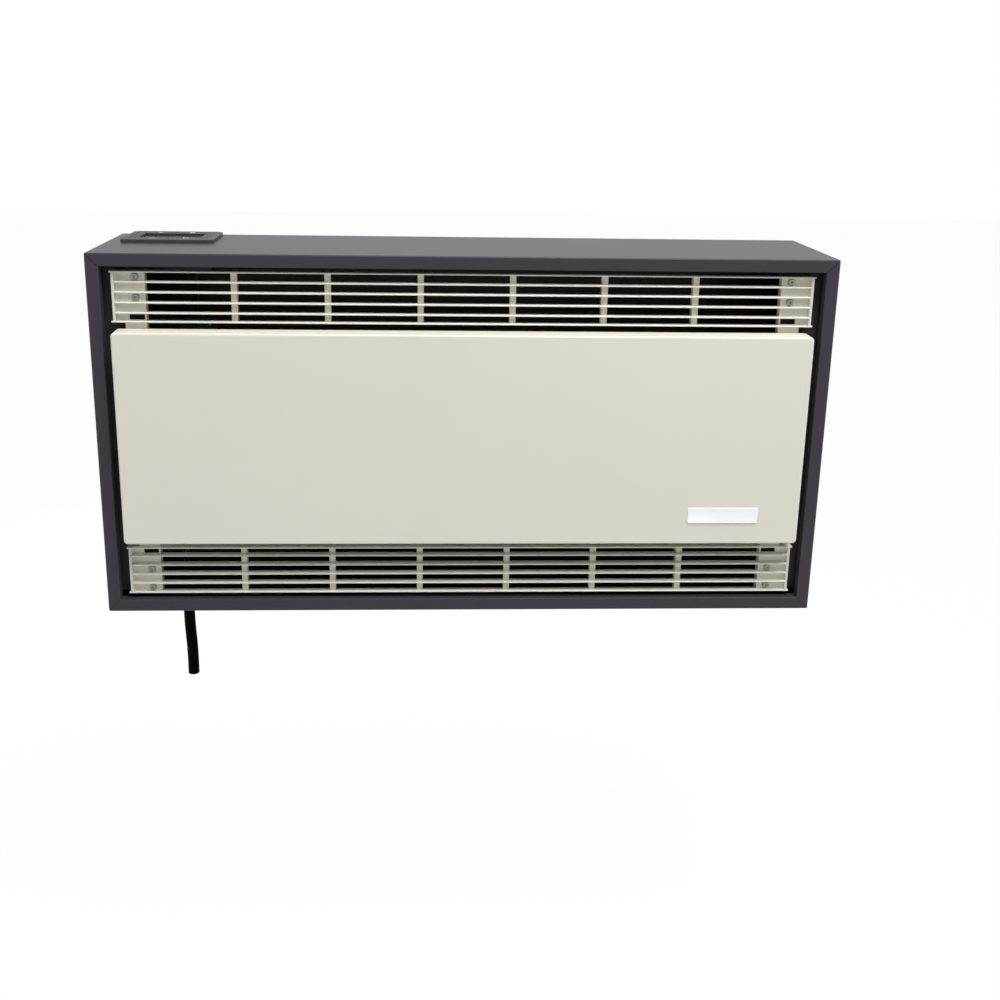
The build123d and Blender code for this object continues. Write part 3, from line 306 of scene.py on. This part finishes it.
def window_glass(name):
    """The display's clear cover, with a dusting of fine marks."""
    finish = Finish(name)
    marks = finish.place.stretch(1.0, 6.0, 1.0).noise(300.0, 3.0)
    finish.set(
        Base_Color=(0.06, 0.068, 0.056),
        Roughness=marks * 0.08 + 0.08,
        Alpha=0.16,
        Normal=marks.bump(0.02, 0.00005),
    )
    return finish.material


def crystal_panel(name):
    """The liquid-crystal panel: grey-green with a faint fine mottle."""
    finish = Finish(name)
    cloud = finish.place.noise(40.0, 2.0)
    pixels = finish.place.noise(2600.0, 1.0)
    shade = cloud * 0.7 + pixels * 0.3
    finish.set(
        Base_Color=shade.mix((0.092, 0.106, 0.070), (0.118, 0.134, 0.092)),
        Roughness=pixels * 0.1 + 0.32,
        Normal=pixels.bump(0.05, 0.00003),
    )
    return finish.material


CREAM = (0.655, 0.640, 0.555)
CHARCOAL = (0.036, 0.0328, 0.040)
# Near-black for the inside sheets: black paint, made darker still as painted shade for the deep dark
# inside the heater.
INTERIOR_BLACK_AND_SHADE = (0.002, 0.002, 0.0022)

PAINTS = {
    "charcoal_paint": powder_coat(
        "charcoal_powder_coat", CHARCOAL, grain=1100.0, roughness=0.44, drift=0.08, specular=0.20,
    ),
    "cream_paint": powder_coat(
        "cream_powder_coat", CREAM, grain=900.0, roughness=0.44, drift=0.035,
    ),
    # The inner sheets' black paint, darkened past real paint so that it also stands in for the shade
    # inside.
    "black_sheet": powder_coat(
        "black_paint_and_painted_shade", INTERIOR_BLACK_AND_SHADE, grain=800.0, roughness=0.75, drift=0.12, specular=0.06,
    ),
}

METALS = {
    "zinc_sheet": zinc_coat("galvanised_sheet", (0.42, 0.43, 0.44)),
    "bright_screw": turned_metal("zinc_plated_screw", (0.25, 0.26, 0.22), roughness=0.36),
    "aluminium_wheel": turned_metal("wheel_aluminium", (0.60, 0.61, 0.62), roughness=0.36),
    "bearing_bronze": turned_metal("bearing_bronze", (0.50, 0.34, 0.16), roughness=0.40),
    "bright_copper": turned_metal("bright_copper", (0.80, 0.36, 0.20), roughness=0.30),
    "motor_steel": laminations("laminated_steel", (0.28, 0.28, 0.29)),
    "element_steel": heat_tinted("element_sheath"),
    "cast_zinc": moulding(
        "die_cast_bridge", (0.38, 0.38, 0.38), grain=1300.0, roughness=0.46, depth=0.0001,
    ),
}

RUBBERS = {
    "black_rubber": moulding(
        "grip_rubber", (0.018, 0.018, 0.019), grain=2200.0, roughness=0.58,
    ),
    "lead_sheath": moulding(
        "lead_sheath", (0.0015, 0.0015, 0.0016), grain=1600.0, roughness=0.70,
        depth=0.00004, specular=0.03,
    ),
    "core_brown": moulding("core_brown", (0.14, 0.05, 0.02), grain=1500.0, roughness=0.42),
    "core_blue": moulding("core_blue", (0.02, 0.09, 0.40), grain=1500.0, roughness=0.42),
    "core_earth": striped_core("core_green_yellow"),
}

PLASTICS = {
    "motor_winding": moulding(
        "taped_winding", (0.34, 0.09, 0.03), grain=900.0, roughness=0.50, depth=0.0003,
    ),
    "ceramic_white": moulding("bush_ceramic", (0.72, 0.69, 0.62), grain=1700.0, roughness=0.60),
    "component_black": moulding(
        "black_moulding", (0.022, 0.022, 0.024), grain=1800.0, roughness=0.50,
    ),
    "relay_case": moulding("relay_case", (0.02, 0.06, 0.17), grain=1900.0, roughness=0.36),
    "natural_nylon": moulding("natural_nylon", (0.66, 0.63, 0.54), grain=1400.0, roughness=0.48),
    "control_plastic": moulding(
        "bezel_moulding", (0.052, 0.049, 0.053), grain=2100.0, roughness=0.50, specular=0.16,
    ),
    "key_plastic": moulding(
        "key_moulding", (0.034, 0.032, 0.034), grain=2100.0, roughness=0.52, specular=0.16,
    ),
}

PRINTS = {
    "white_enamel": moulding(
        "white_enamel", (0.86, 0.87, 0.90), grain=1200.0, roughness=0.28,
        depth=0.00003, drift=0.02,
    ),
    "white_print": moulding(
        "white_print", (0.62, 0.62, 0.61), grain=2600.0, roughness=0.45,
        depth=0.00001, drift=0.03,
    ),
    "dark_segment": moulding(
        "dark_segment", (0.016, 0.018, 0.014), grain=2600.0, roughness=0.40,
        depth=0.00001, drift=0.05,
    ),
}

ELECTRONICS = {
    "board_green": circuit_board("circuit_board", (0.018, 0.11, 0.05)),
    "display_glass": window_glass("display_window"),
    "display_face": crystal_panel("display_panel"),
}

FINISHES = {**PAINTS, **METALS, **RUBBERS, **PLASTICS, **PRINTS, **ELECTRONICS}


def dress_cad_nodes():
    """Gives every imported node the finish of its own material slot."""
    for row in frame["record"]["subparts"]:
        node = frame["nodes"][row["node"]]
        finish = FINISHES[row["material_slot"]]
        node.data.materials.clear()
        node.data.materials.append(finish)


dress_cad_nodes()


# Modelling helpers
def start(kind, **size):
    """Adds a primitive with nothing else selected, its place in its mesh, in edit mode."""
    bpy.ops.object.select_all(action="DESELECT")
    getattr(bpy.ops.mesh, f"primitive_{kind}_add")(**size)
    bpy.ops.object.transform_apply(location=True, rotation=True, scale=True)
    bpy.ops.object.mode_set(mode="EDIT")
    bpy.ops.mesh.select_mode(type="FACE")
    return bpy.context.object


def pick(piece, kind, test):
    """Selects the faces, edges or points of a piece in edit mode that pass a test of their place."""
    bpy.ops.mesh.select_mode(type=kind)
    bpy.ops.mesh.select_all(action="DESELECT")
    bpy.ops.object.mode_set(mode="OBJECT")
    mesh = piece.data
    if kind == "FACE":
        for face in mesh.polygons:
            face.select = test(face.center, face.normal)
    elif kind == "EDGE":
        for edge in mesh.edges:
            a, b = (mesh.vertices[index].co for index in edge.vertices)
            edge.select = test((a + b) / 2, (b - a).normalized())
    else:
        for point in mesh.vertices:
            point.select = test(point.co)
    bpy.ops.object.mode_set(mode="EDIT")


def smooth(piece, degrees):
    """Shades a piece smooth, apart from edges sharper than an angle."""
    bpy.ops.object.select_all(action="DESELECT")
    piece.select_set(True)
    bpy.context.view_layer.objects.active = piece
    bpy.ops.object.shade_smooth_by_angle(angle=math.radians(degrees))


def finish_piece(piece, name, slot, body="heater"):
    """Leaves edit mode, smooths the piece and gives it its name, finish and body."""
    bpy.ops.object.mode_set(mode="OBJECT")
    piece.name = piece.data.name = name
    smooth(piece, 35.0)
    dress(piece, slot, body)
    return piece


def dress(piece, finish, body):
    """Gives the piece its finish and its body."""
    piece.data.materials.clear()
    piece.data.materials.append(FINISHES[finish])
    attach(piece, body)


def cut_with(piece, cutter):
    """Takes one piece out of another."""
    bpy.ops.object.mode_set(mode="OBJECT")
    bpy.context.view_layer.objects.active = piece
    cut = piece.modifiers.new("cut", "BOOLEAN")
    cut.object = cutter
    cut.operation = "DIFFERENCE"
    cut.solver = "EXACT"
    bpy.ops.object.modifier_apply(modifier=cut.name)


def copy_to(piece, name, matrix, slot):
    """A copy with its own mesh, moved to its place on the heater."""
    twin = bpy.data.objects.new(name, piece.data.copy())
    scene.collection.objects.link(twin)
    twin.data.transform(matrix)
    twin.data.name = name
    dress(twin, slot, "heater")
    return twin


def drop(*pieces):
    """Removes patterns and cutters that are no part of the heater."""
    for piece in pieces:
        bpy.data.objects.remove(piece)


# Mains lead
LEAD_ROUTE = [
    (-0.2850, -0.0380, -0.162),
    (-0.2850, -0.0380, -0.196),
    (-0.2849, -0.0386, -0.234),
    (-0.2829, -0.0394, -0.264),
    (-0.2831, -0.0398, -0.290),
]
LEAD_RADIUS = 5.75 * MM
CORE_RADIUS = 1.6 * MM
CORE_SPREAD = 2.4 * MM
CORE_END = 1.2 * MM
INSULATION_WALL = 0.75 * MM
COPPER_RADIUS = 0.8 * MM
COPPER_END = 1.0 * MM


def cut_core(number, colour):
    """A core's end at the lead's square cut: its insulation and the copper in it."""
    x, y, z = LEAD_ROUTE[-1]
    turn = math.radians(210 - 120 * number)
    x += CORE_SPREAD * math.cos(turn)
    y += CORE_SPREAD * math.sin(turn)
    core = start(
        "cylinder", vertices=24, radius=CORE_RADIUS, depth=CORE_END,
        location=(x, y, z + 0.4 * MM),
    )
    pick(core, "FACE", lambda place, normal: normal.z < -0.9)
    bpy.ops.mesh.inset(thickness=INSULATION_WALL)
    bpy.ops.transform.translate(value=(0, 0, 0.3 * MM))
    finish_piece(core, f"cut_core_{colour}", f"core_{colour}")
    copper = start(
        "cylinder", vertices=24, radius=COPPER_RADIUS, depth=COPPER_END,
        location=(x, y, z + 0.25 * MM),
    )
    pick(copper, "EDGE", lambda place, way: place.z < z and abs(way.z) < 0.1)
    bpy.ops.mesh.bevel(offset=0.15 * MM, segments=3)
    finish_piece(copper, f"cut_copper_{colour}", "bright_copper")
    return [core, copper]


def mains_lead():
    """The sheathed lead, hanging from its grip to a square cut end."""
    cores = []
    for number, colour in enumerate(("brown", "earth", "blue")):
        cores += cut_core(number, colour)
    curve = bpy.data.curves.new("hanging_lead", "CURVE")
    curve.dimensions = "3D"
    curve.resolution_u = 24
    curve.bevel_depth = LEAD_RADIUS
    curve.bevel_resolution = 8
    curve.use_fill_caps = True
    spline = curve.splines.new("NURBS")
    spline.points.add(len(LEAD_ROUTE) - 1)
    for point, place in zip(spline.points, LEAD_ROUTE):
        point.co = (*place, 1.0)
    spline.order_u = 3
    spline.use_endpoint_u = True
    lead = bpy.data.objects.new("hanging_lead", curve)
    scene.collection.objects.link(lead)
    curve.materials.append(FINISHES["lead_sheath"])
    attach(lead, "heater")
    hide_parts("mains_lead")


mains_lead()


# Screws
SCREW_HEAD = 3.25 * MM
SCREW_RISE = 2.0 * MM
SCREW_DOME = 1.25 * MM
SCREW_SHANK = 1.75 * MM
SCREW_POINT = 0.5 * MM
SCREW_CROSS = (3.9 * MM, 0.75 * MM, 2.6 * MM)
SCREW_PITCH = 18.8 * MM
GRILLE_SHANK = 12.0 * MM
CASING_SHANK = 8.0 * MM


def screw_pattern(shank):
    """A pan-head screw with a cross recess, head up, seated on the XY plane."""
    screw = start(
        "cylinder", vertices=36, radius=SCREW_HEAD, depth=SCREW_RISE,
        location=(0, 0, SCREW_RISE / 2),
    )
    pick(screw, "EDGE", lambda place, way: place.z > SCREW_RISE * 0.99)
    bpy.ops.mesh.bevel(offset=SCREW_DOME, segments=5, profile=0.5)
    pick(screw, "FACE", lambda place, normal: normal.z < -0.9)
    bpy.ops.mesh.inset(thickness=SCREW_HEAD - SCREW_SHANK)
    bpy.ops.mesh.extrude_region_move(TRANSFORM_OT_translate={"value": (0, 0, -shank)})
    bpy.ops.mesh.inset(thickness=SCREW_POINT)
    bpy.ops.mesh.extrude_region_move(TRANSFORM_OT_translate={"value": (0, 0, -SCREW_POINT)})
    bpy.ops.object.mode_set(mode="OBJECT")
    for turn in (0.0, math.pi / 2):
        cut_screw_slot(screw, turn)
    screw.data.polygons.foreach_set("use_smooth", [False] * len(screw.data.polygons))
    smooth(screw, 28.0)
    return screw


def cut_screw_slot(screw, turn):
    """Cuts one tapered slot of the cross recess into a screw's head."""
    slot = start("cube", size=1.0, scale=SCREW_CROSS, location=(0, 0, SCREW_RISE))
    pick(slot, "FACE", lambda place, normal: normal.z < -0.9)
    bpy.ops.transform.resize(value=(0.45, 0.6, 1.0))
    bpy.ops.mesh.select_all(action="SELECT")
    bpy.ops.object.mode_set(mode="OBJECT")
    slot.data.transform(Matrix.Rotation(turn, 4, "Z"))
    cut_with(screw, slot)
    drop(slot)


def screw_place(seat, out, turn):
    """The matrix that seats the pattern on a face, with its head outwards."""
    face = Vector(out).to_track_quat("Z", "Y").to_matrix().to_4x4()
    return Matrix.Translation(seat) @ face @ Matrix.Rotation(turn, 4, "Z")


def grille_screw_heads():
    """The eight screws through the end brackets."""
    pattern = screw_pattern(GRILLE_SHANK)
    low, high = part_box("grille_screws")
    top, foot = high.z - SCREW_HEAD, low.z + SCREW_HEAD
    heights = [top, top - SCREW_PITCH, foot + SCREW_PITCH, foot]
    seat_y = low.y + SCREW_RISE
    count = 0
    for side in (low.x + SCREW_HEAD, high.x - SCREW_HEAD):
        for height in heights:
            count += 1
            place = screw_place((side, seat_y, height), (0, -1, 0), 0.35 * count)
            screw = copy_to(pattern, f"grille_screw_{count}", place, "bright_screw")
            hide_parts("grille_screws")
    drop(pattern)


def casing_screw_heads():
    """The painted screws round the back edge of the casing."""
    pattern = screw_pattern(CASING_SHANK)
    low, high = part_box("casing_screws")
    level = (low.y + high.y) / 2
    reach = high.z - SCREW_HEAD
    seats = []
    for side, out in ((low.x + SCREW_RISE, -1), (high.x - SCREW_RISE, 1)):
        for height in (reach, -reach):
            seats.append(((side, level, height), (out, 0, 0)))
    for across in (-reach, reach):
        seats.append(((across, level, low.z + SCREW_RISE), (0, 0, -1)))
    for count, (seat, out) in enumerate(seats, 1):
        place = screw_place(seat, out, 0.5 * count)
        screw = copy_to(pattern, f"casing_screw_{count}", place, "charcoal_paint")
        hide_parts("casing_screws")
    drop(pattern)


grille_screw_heads()
casing_screw_heads()


# Badge plate
BADGE_SIZE = (67 * MM, 0.9 * MM, 15 * MM)
BADGE_ACROSS = 0.2450
BADGE_LEVEL = -0.0700
BADGE_CORNER = 1.2 * MM


def badge_plate():
    """The small white plate at the panel's lower right corner, left blank."""
    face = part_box("front_panel")[0].y
    plate = start(
        "cube", size=1.0, scale=BADGE_SIZE,
        location=(BADGE_ACROSS, face - 0.40 * MM, BADGE_LEVEL),
    )
    pick(plate, "EDGE", lambda place, way: abs(way.y) > 0.9)
    bpy.ops.mesh.bevel(offset=BADGE_CORNER, segments=5)
    pick(plate, "FACE", lambda place, normal: normal.y < -0.9)
    bpy.ops.mesh.inset(thickness=0.30 * MM)
    bpy.ops.transform.translate(value=(0, -0.15 * MM, 0))
    bpy.ops.mesh.inset(thickness=0.45 * MM)
    bpy.ops.transform.translate(value=(0, 0.12 * MM, 0))
    finish_piece(plate, "badge_plate", "white_enamel")


badge_plate()


# Keypad print
FILM = 0.03 * MM
STROKE = 1.1 * MM
PLUS_ARM = 2.2 * MM
MINUS_LENGTH = 5.5 * MM
TABLE_SIZE = (5.2 * MM, 4.6 * MM)
TABLE_LINE = 0.34 * MM
RING_RADIUS = 3.0 * MM
RING_GAP = 1.15 * MM
RING_STROKE = (0.8 * MM, 3.0 * MM)
PRINT_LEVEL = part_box("key_plus")[1].z - 0.01 * MM

# Where each print lies, in millimetres across and back from the keypad's centre
PLUS_AT = (-15.9, 22.3)
MINUS_AT = (-15.0, -22.2)
MENU_AT = (15.1, 22.2)
POWER_AT = (16.5, -19.8)


def keypad_place(across, back):
    """A place on the keypad, from its centre, in millimetres."""
    low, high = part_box("control_bezel")
    return (low.x + high.x) / 2 + across * MM, (low.y + high.y) / 2 + back * MM


def thicken(piece):
    """Gives a flat print its thickness."""
    bpy.ops.object.mode_set(mode="OBJECT")
    film = piece.modifiers.new("film", "SOLIDIFY")
    film.thickness = FILM
    film.offset = 1.0
    bpy.ops.object.modifier_apply(modifier=film.name)
    bpy.ops.object.mode_set(mode="EDIT")
    bpy.ops.mesh.select_all(action="SELECT")
    bpy.ops.mesh.normals_make_consistent(inside=False)


def draw_out(piece, way, length, test):
    """Pulls the edge of a flat print that passes a test out by a length."""
    pick(piece, "EDGE", test)
    move = {"value": tuple(length * part for part in way)}
    bpy.ops.mesh.extrude_edges_move(TRANSFORM_OT_translate=move)


def plus_print():
    """A cross with four equal arms."""
    x, y = keypad_place(*PLUS_AT)
    cross = start("plane", size=STROKE, location=(x, y, PRINT_LEVEL))
    edge = 0.4 * STROKE
    draw_out(cross, (1, 0, 0), PLUS_ARM, lambda place, way: place.x > x + edge)
    draw_out(cross, (-1, 0, 0), PLUS_ARM, lambda place, way: place.x < x - edge)
    for way in (1, -1):
        draw_out(
            cross, (0, way, 0), PLUS_ARM,
            lambda place, along: way * (place.y - y) > edge and abs(place.x - x) < edge,
        )
    thicken(cross)
    finish_piece(cross, "plus_print", "white_print", "plus_key")


def minus_print():
    """A short bar with rounded corners."""
    x, y = keypad_place(*MINUS_AT)
    dash = start("plane", size=1.0, location=(x, y, PRINT_LEVEL))
    bpy.ops.mesh.select_all(action="SELECT")
    bpy.ops.transform.resize(value=(MINUS_LENGTH, STROKE, 1.0))
    bpy.ops.mesh.bevel(offset=0.25 * MM, segments=3, affect="VERTICES")
    thicken(dash)
    finish_piece(dash, "minus_print", "white_print", "minus_key")


def menu_print():
    """A little table with three columns and a headed top."""
    x, y = keypad_place(*MENU_AT)
    table = start(
        "grid", x_subdivisions=3, y_subdivisions=3, size=1.0, location=(x, y, PRINT_LEVEL),
    )
    bpy.ops.mesh.select_all(action="SELECT")
    bpy.ops.transform.resize(value=(*TABLE_SIZE, 1.0))
    pick(table, "FACE", lambda place, normal: place.y < y + 0.8 * MM)
    bpy.ops.mesh.inset(thickness=TABLE_LINE, use_individual=True)
    bpy.ops.mesh.delete(type="FACE")
    thicken(table)
    finish_piece(table, "menu_print", "white_print", "menu_key")


def power_print():
    """A broken ring with a stroke in its gap."""
    x, y = keypad_place(*POWER_AT)
    centre = (x, y, PRINT_LEVEL)
    middle = (x, y + 0.62 * RING_RADIUS, PRINT_LEVEL)
    ring = start("circle", vertices=40, radius=RING_RADIUS, fill_type="NOTHING", location=centre)
    bpy.ops.mesh.select_all(action="SELECT")
    bpy.ops.mesh.extrude_edges_move(TRANSFORM_OT_translate={"value": (0, 0, 0)})
    bpy.ops.transform.resize(value=(0.70, 0.70, 1.0), center_override=centre)
    pick(ring, "FACE", lambda place, normal: place.y > y and abs(place.x - x) < RING_GAP)
    bpy.ops.mesh.delete(type="FACE")
    bpy.ops.mesh.primitive_plane_add(size=1.0, location=middle)
    bpy.ops.transform.resize(value=(*RING_STROKE, 1.0), center_override=middle)
    thicken(ring)
    finish_piece(ring, "power_print", "white_print", "power_key")


plus_print()
minus_print()
menu_print()
power_print()


# Display segments
DIGIT_WIDTH = 3.6 * MM
DIGIT_HEIGHT = 7.0 * MM
SEGMENT_WIDTH = 0.75 * MM
SEGMENT_GAP = 0.3 * MM
LIT = {"2": "abged", "1": "bc", "5": "afgcd"}
READING = (("2", -19.0), ("1", -13.2), ("5", -6.4))
READING_BACK = 5.5


def segment(length):
    """One bar of a digit, along X, with pointed ends."""
    bar = start("plane", size=1.0)
    bpy.ops.mesh.select_all(action="SELECT")
    bpy.ops.transform.resize(value=(length - SEGMENT_WIDTH, SEGMENT_WIDTH, 1.0))
    reach = 0.4 * (length - SEGMENT_WIDTH)
    for way in (-1, 1):
        draw_out(bar, (way, 0, 0), SEGMENT_WIDTH / 2, lambda place, across: place.x * way > reach)
        bpy.ops.mesh.merge(type="CENTER")
    thicken(bar)
    bpy.ops.object.mode_set(mode="OBJECT")
    return bar


def digit_bars():
    """Where each bar of a digit lies: its centre, whether it stands, by letter."""
    half_width, half_height = DIGIT_WIDTH / 2, DIGIT_HEIGHT / 2
    quarter = half_height / 2
    return {
        "a": (0, half_height, False), "g": (0, 0, False), "d": (0, -half_height, False),
        "f": (-half_width, quarter, True), "b": (half_width, quarter, True),
        "e": (-half_width, -quarter, True), "c": (half_width, -quarter, True),
    }


def display_digits():
    """A plain temperature reading at the display's upper left."""
    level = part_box("display_module")[1].z + FILM
    flat = segment(DIGIT_WIDTH - SEGMENT_GAP)
    upright = segment(DIGIT_HEIGHT / 2 - SEGMENT_GAP)
    bars = digit_bars()
    for number, (digit, across) in enumerate(READING, 1):
        x, y = keypad_place(across, READING_BACK)
        for letter in LIT[digit]:
            bar_x, bar_y, stands = bars[letter]
            place = Matrix.Translation((x + bar_x, y + bar_y, level))
            if stands:
                place = place @ Matrix.Rotation(math.pi / 2, 4, "Z")
            bar = upright if stands else flat
            copy_to(bar, f"digit_{number}_bar_{letter}", place, "dark_segment")
    drop(flat, upright)


display_digits()


# Studio
FLOOR_HEIGHT = -0.62
FLOOR_GLOW = 0.97
WORLD_LIGHT = 0.16
LAMP_AIM = Vector((0.0, -0.07, 0.0))
# Each lamp's place, width and power in watts
LAMPS = {
    "key_softbox": ((0.50, -1.08, 2.28), 1.1, 85.0),
    "left_softbox": ((-1.9, -0.6, 0.3), 1.2, 9.0),
    "right_softbox": ((1.9, -0.6, 0.3), 1.2, 7.0),
    "top_softbox": ((0.1, 0.9, 1.6), 1.6, 9.0),
    "back_softbox": ((-0.4, 1.6, -0.28), 0.6, 13.0),
}


def bare_tree(owner):
    """The empty node tree of a material or the world."""
    owner.use_nodes = True
    owner.node_tree.nodes.clear()
    return owner.node_tree


def background_rays(tree):
    """One for rays that show the background: from the camera, off gloss or through glass."""
    rays = tree.nodes.new("ShaderNodeLightPath")
    seen, glossy, through = (
        Tone(tree, rays.outputs[f"Is {kind} Ray"]) for kind in ("Camera", "Glossy", "Transmission")
    )
    return seen.maths("MINIMUM", seen + glossy + through, 1.0)


def studio_floor():
    """A pale floor far below the heater, white to the eye, which keeps a soft shadow."""
    bpy.ops.object.select_all(action="DESELECT")
    bpy.ops.mesh.primitive_plane_add(size=16.0, location=(0, 0, FLOOR_HEIGHT))
    floor = bpy.context.object
    floor.name = "studio_floor"
    material = bpy.data.materials.new("studio_floor")
    tree = bare_tree(material)
    shown = background_rays(tree)
    matt = shown.node("ShaderNodeBsdfDiffuse", {}, {"Color": (0.85, 0.85, 0.85)})
    glow = shown.node("ShaderNodeEmission", {}, {"Color": (1.0, 1.0, 1.0), "Strength": 1.0})
    surface = shown.node("ShaderNodeMixShader", {}, {0: shown * FLOOR_GLOW, 1: matt, 2: glow})
    output = tree.nodes.new("ShaderNodeOutputMaterial")
    tree.links.new(surface.socket, output.inputs["Surface"])
    floor.data.materials.append(material)


def studio_surround():
    """A white surround that lights the heater gently."""
    world = bpy.data.worlds.new("studio_world")
    scene.world = world
    tree = bare_tree(world)
    shown = background_rays(tree)
    strength = shown * (1.0 - WORLD_LIGHT) + WORLD_LIGHT
    glow = shown.node("ShaderNodeBackground", {}, {"Color": (1.0, 1.0, 1.0), "Strength": strength})
    output = tree.nodes.new("ShaderNodeOutputWorld")
    tree.links.new(glow.socket, output.inputs["Surface"])


def studio_lamps():
    """Soft lamps high in front, at both sides, above and low behind."""
    for name, (place, size, power) in LAMPS.items():
        data = bpy.data.lights.new(name, "AREA")
        data.size = size
        data.energy = power
        lamp = bpy.data.objects.new(name, data)
        scene.collection.objects.link(lamp)
        lamp.location = place
        aim = LAMP_AIM - Vector(place)
        lamp.rotation_euler = aim.to_track_quat("-Z", "Y").to_euler()


studio_floor()
studio_surround()
studio_lamps()
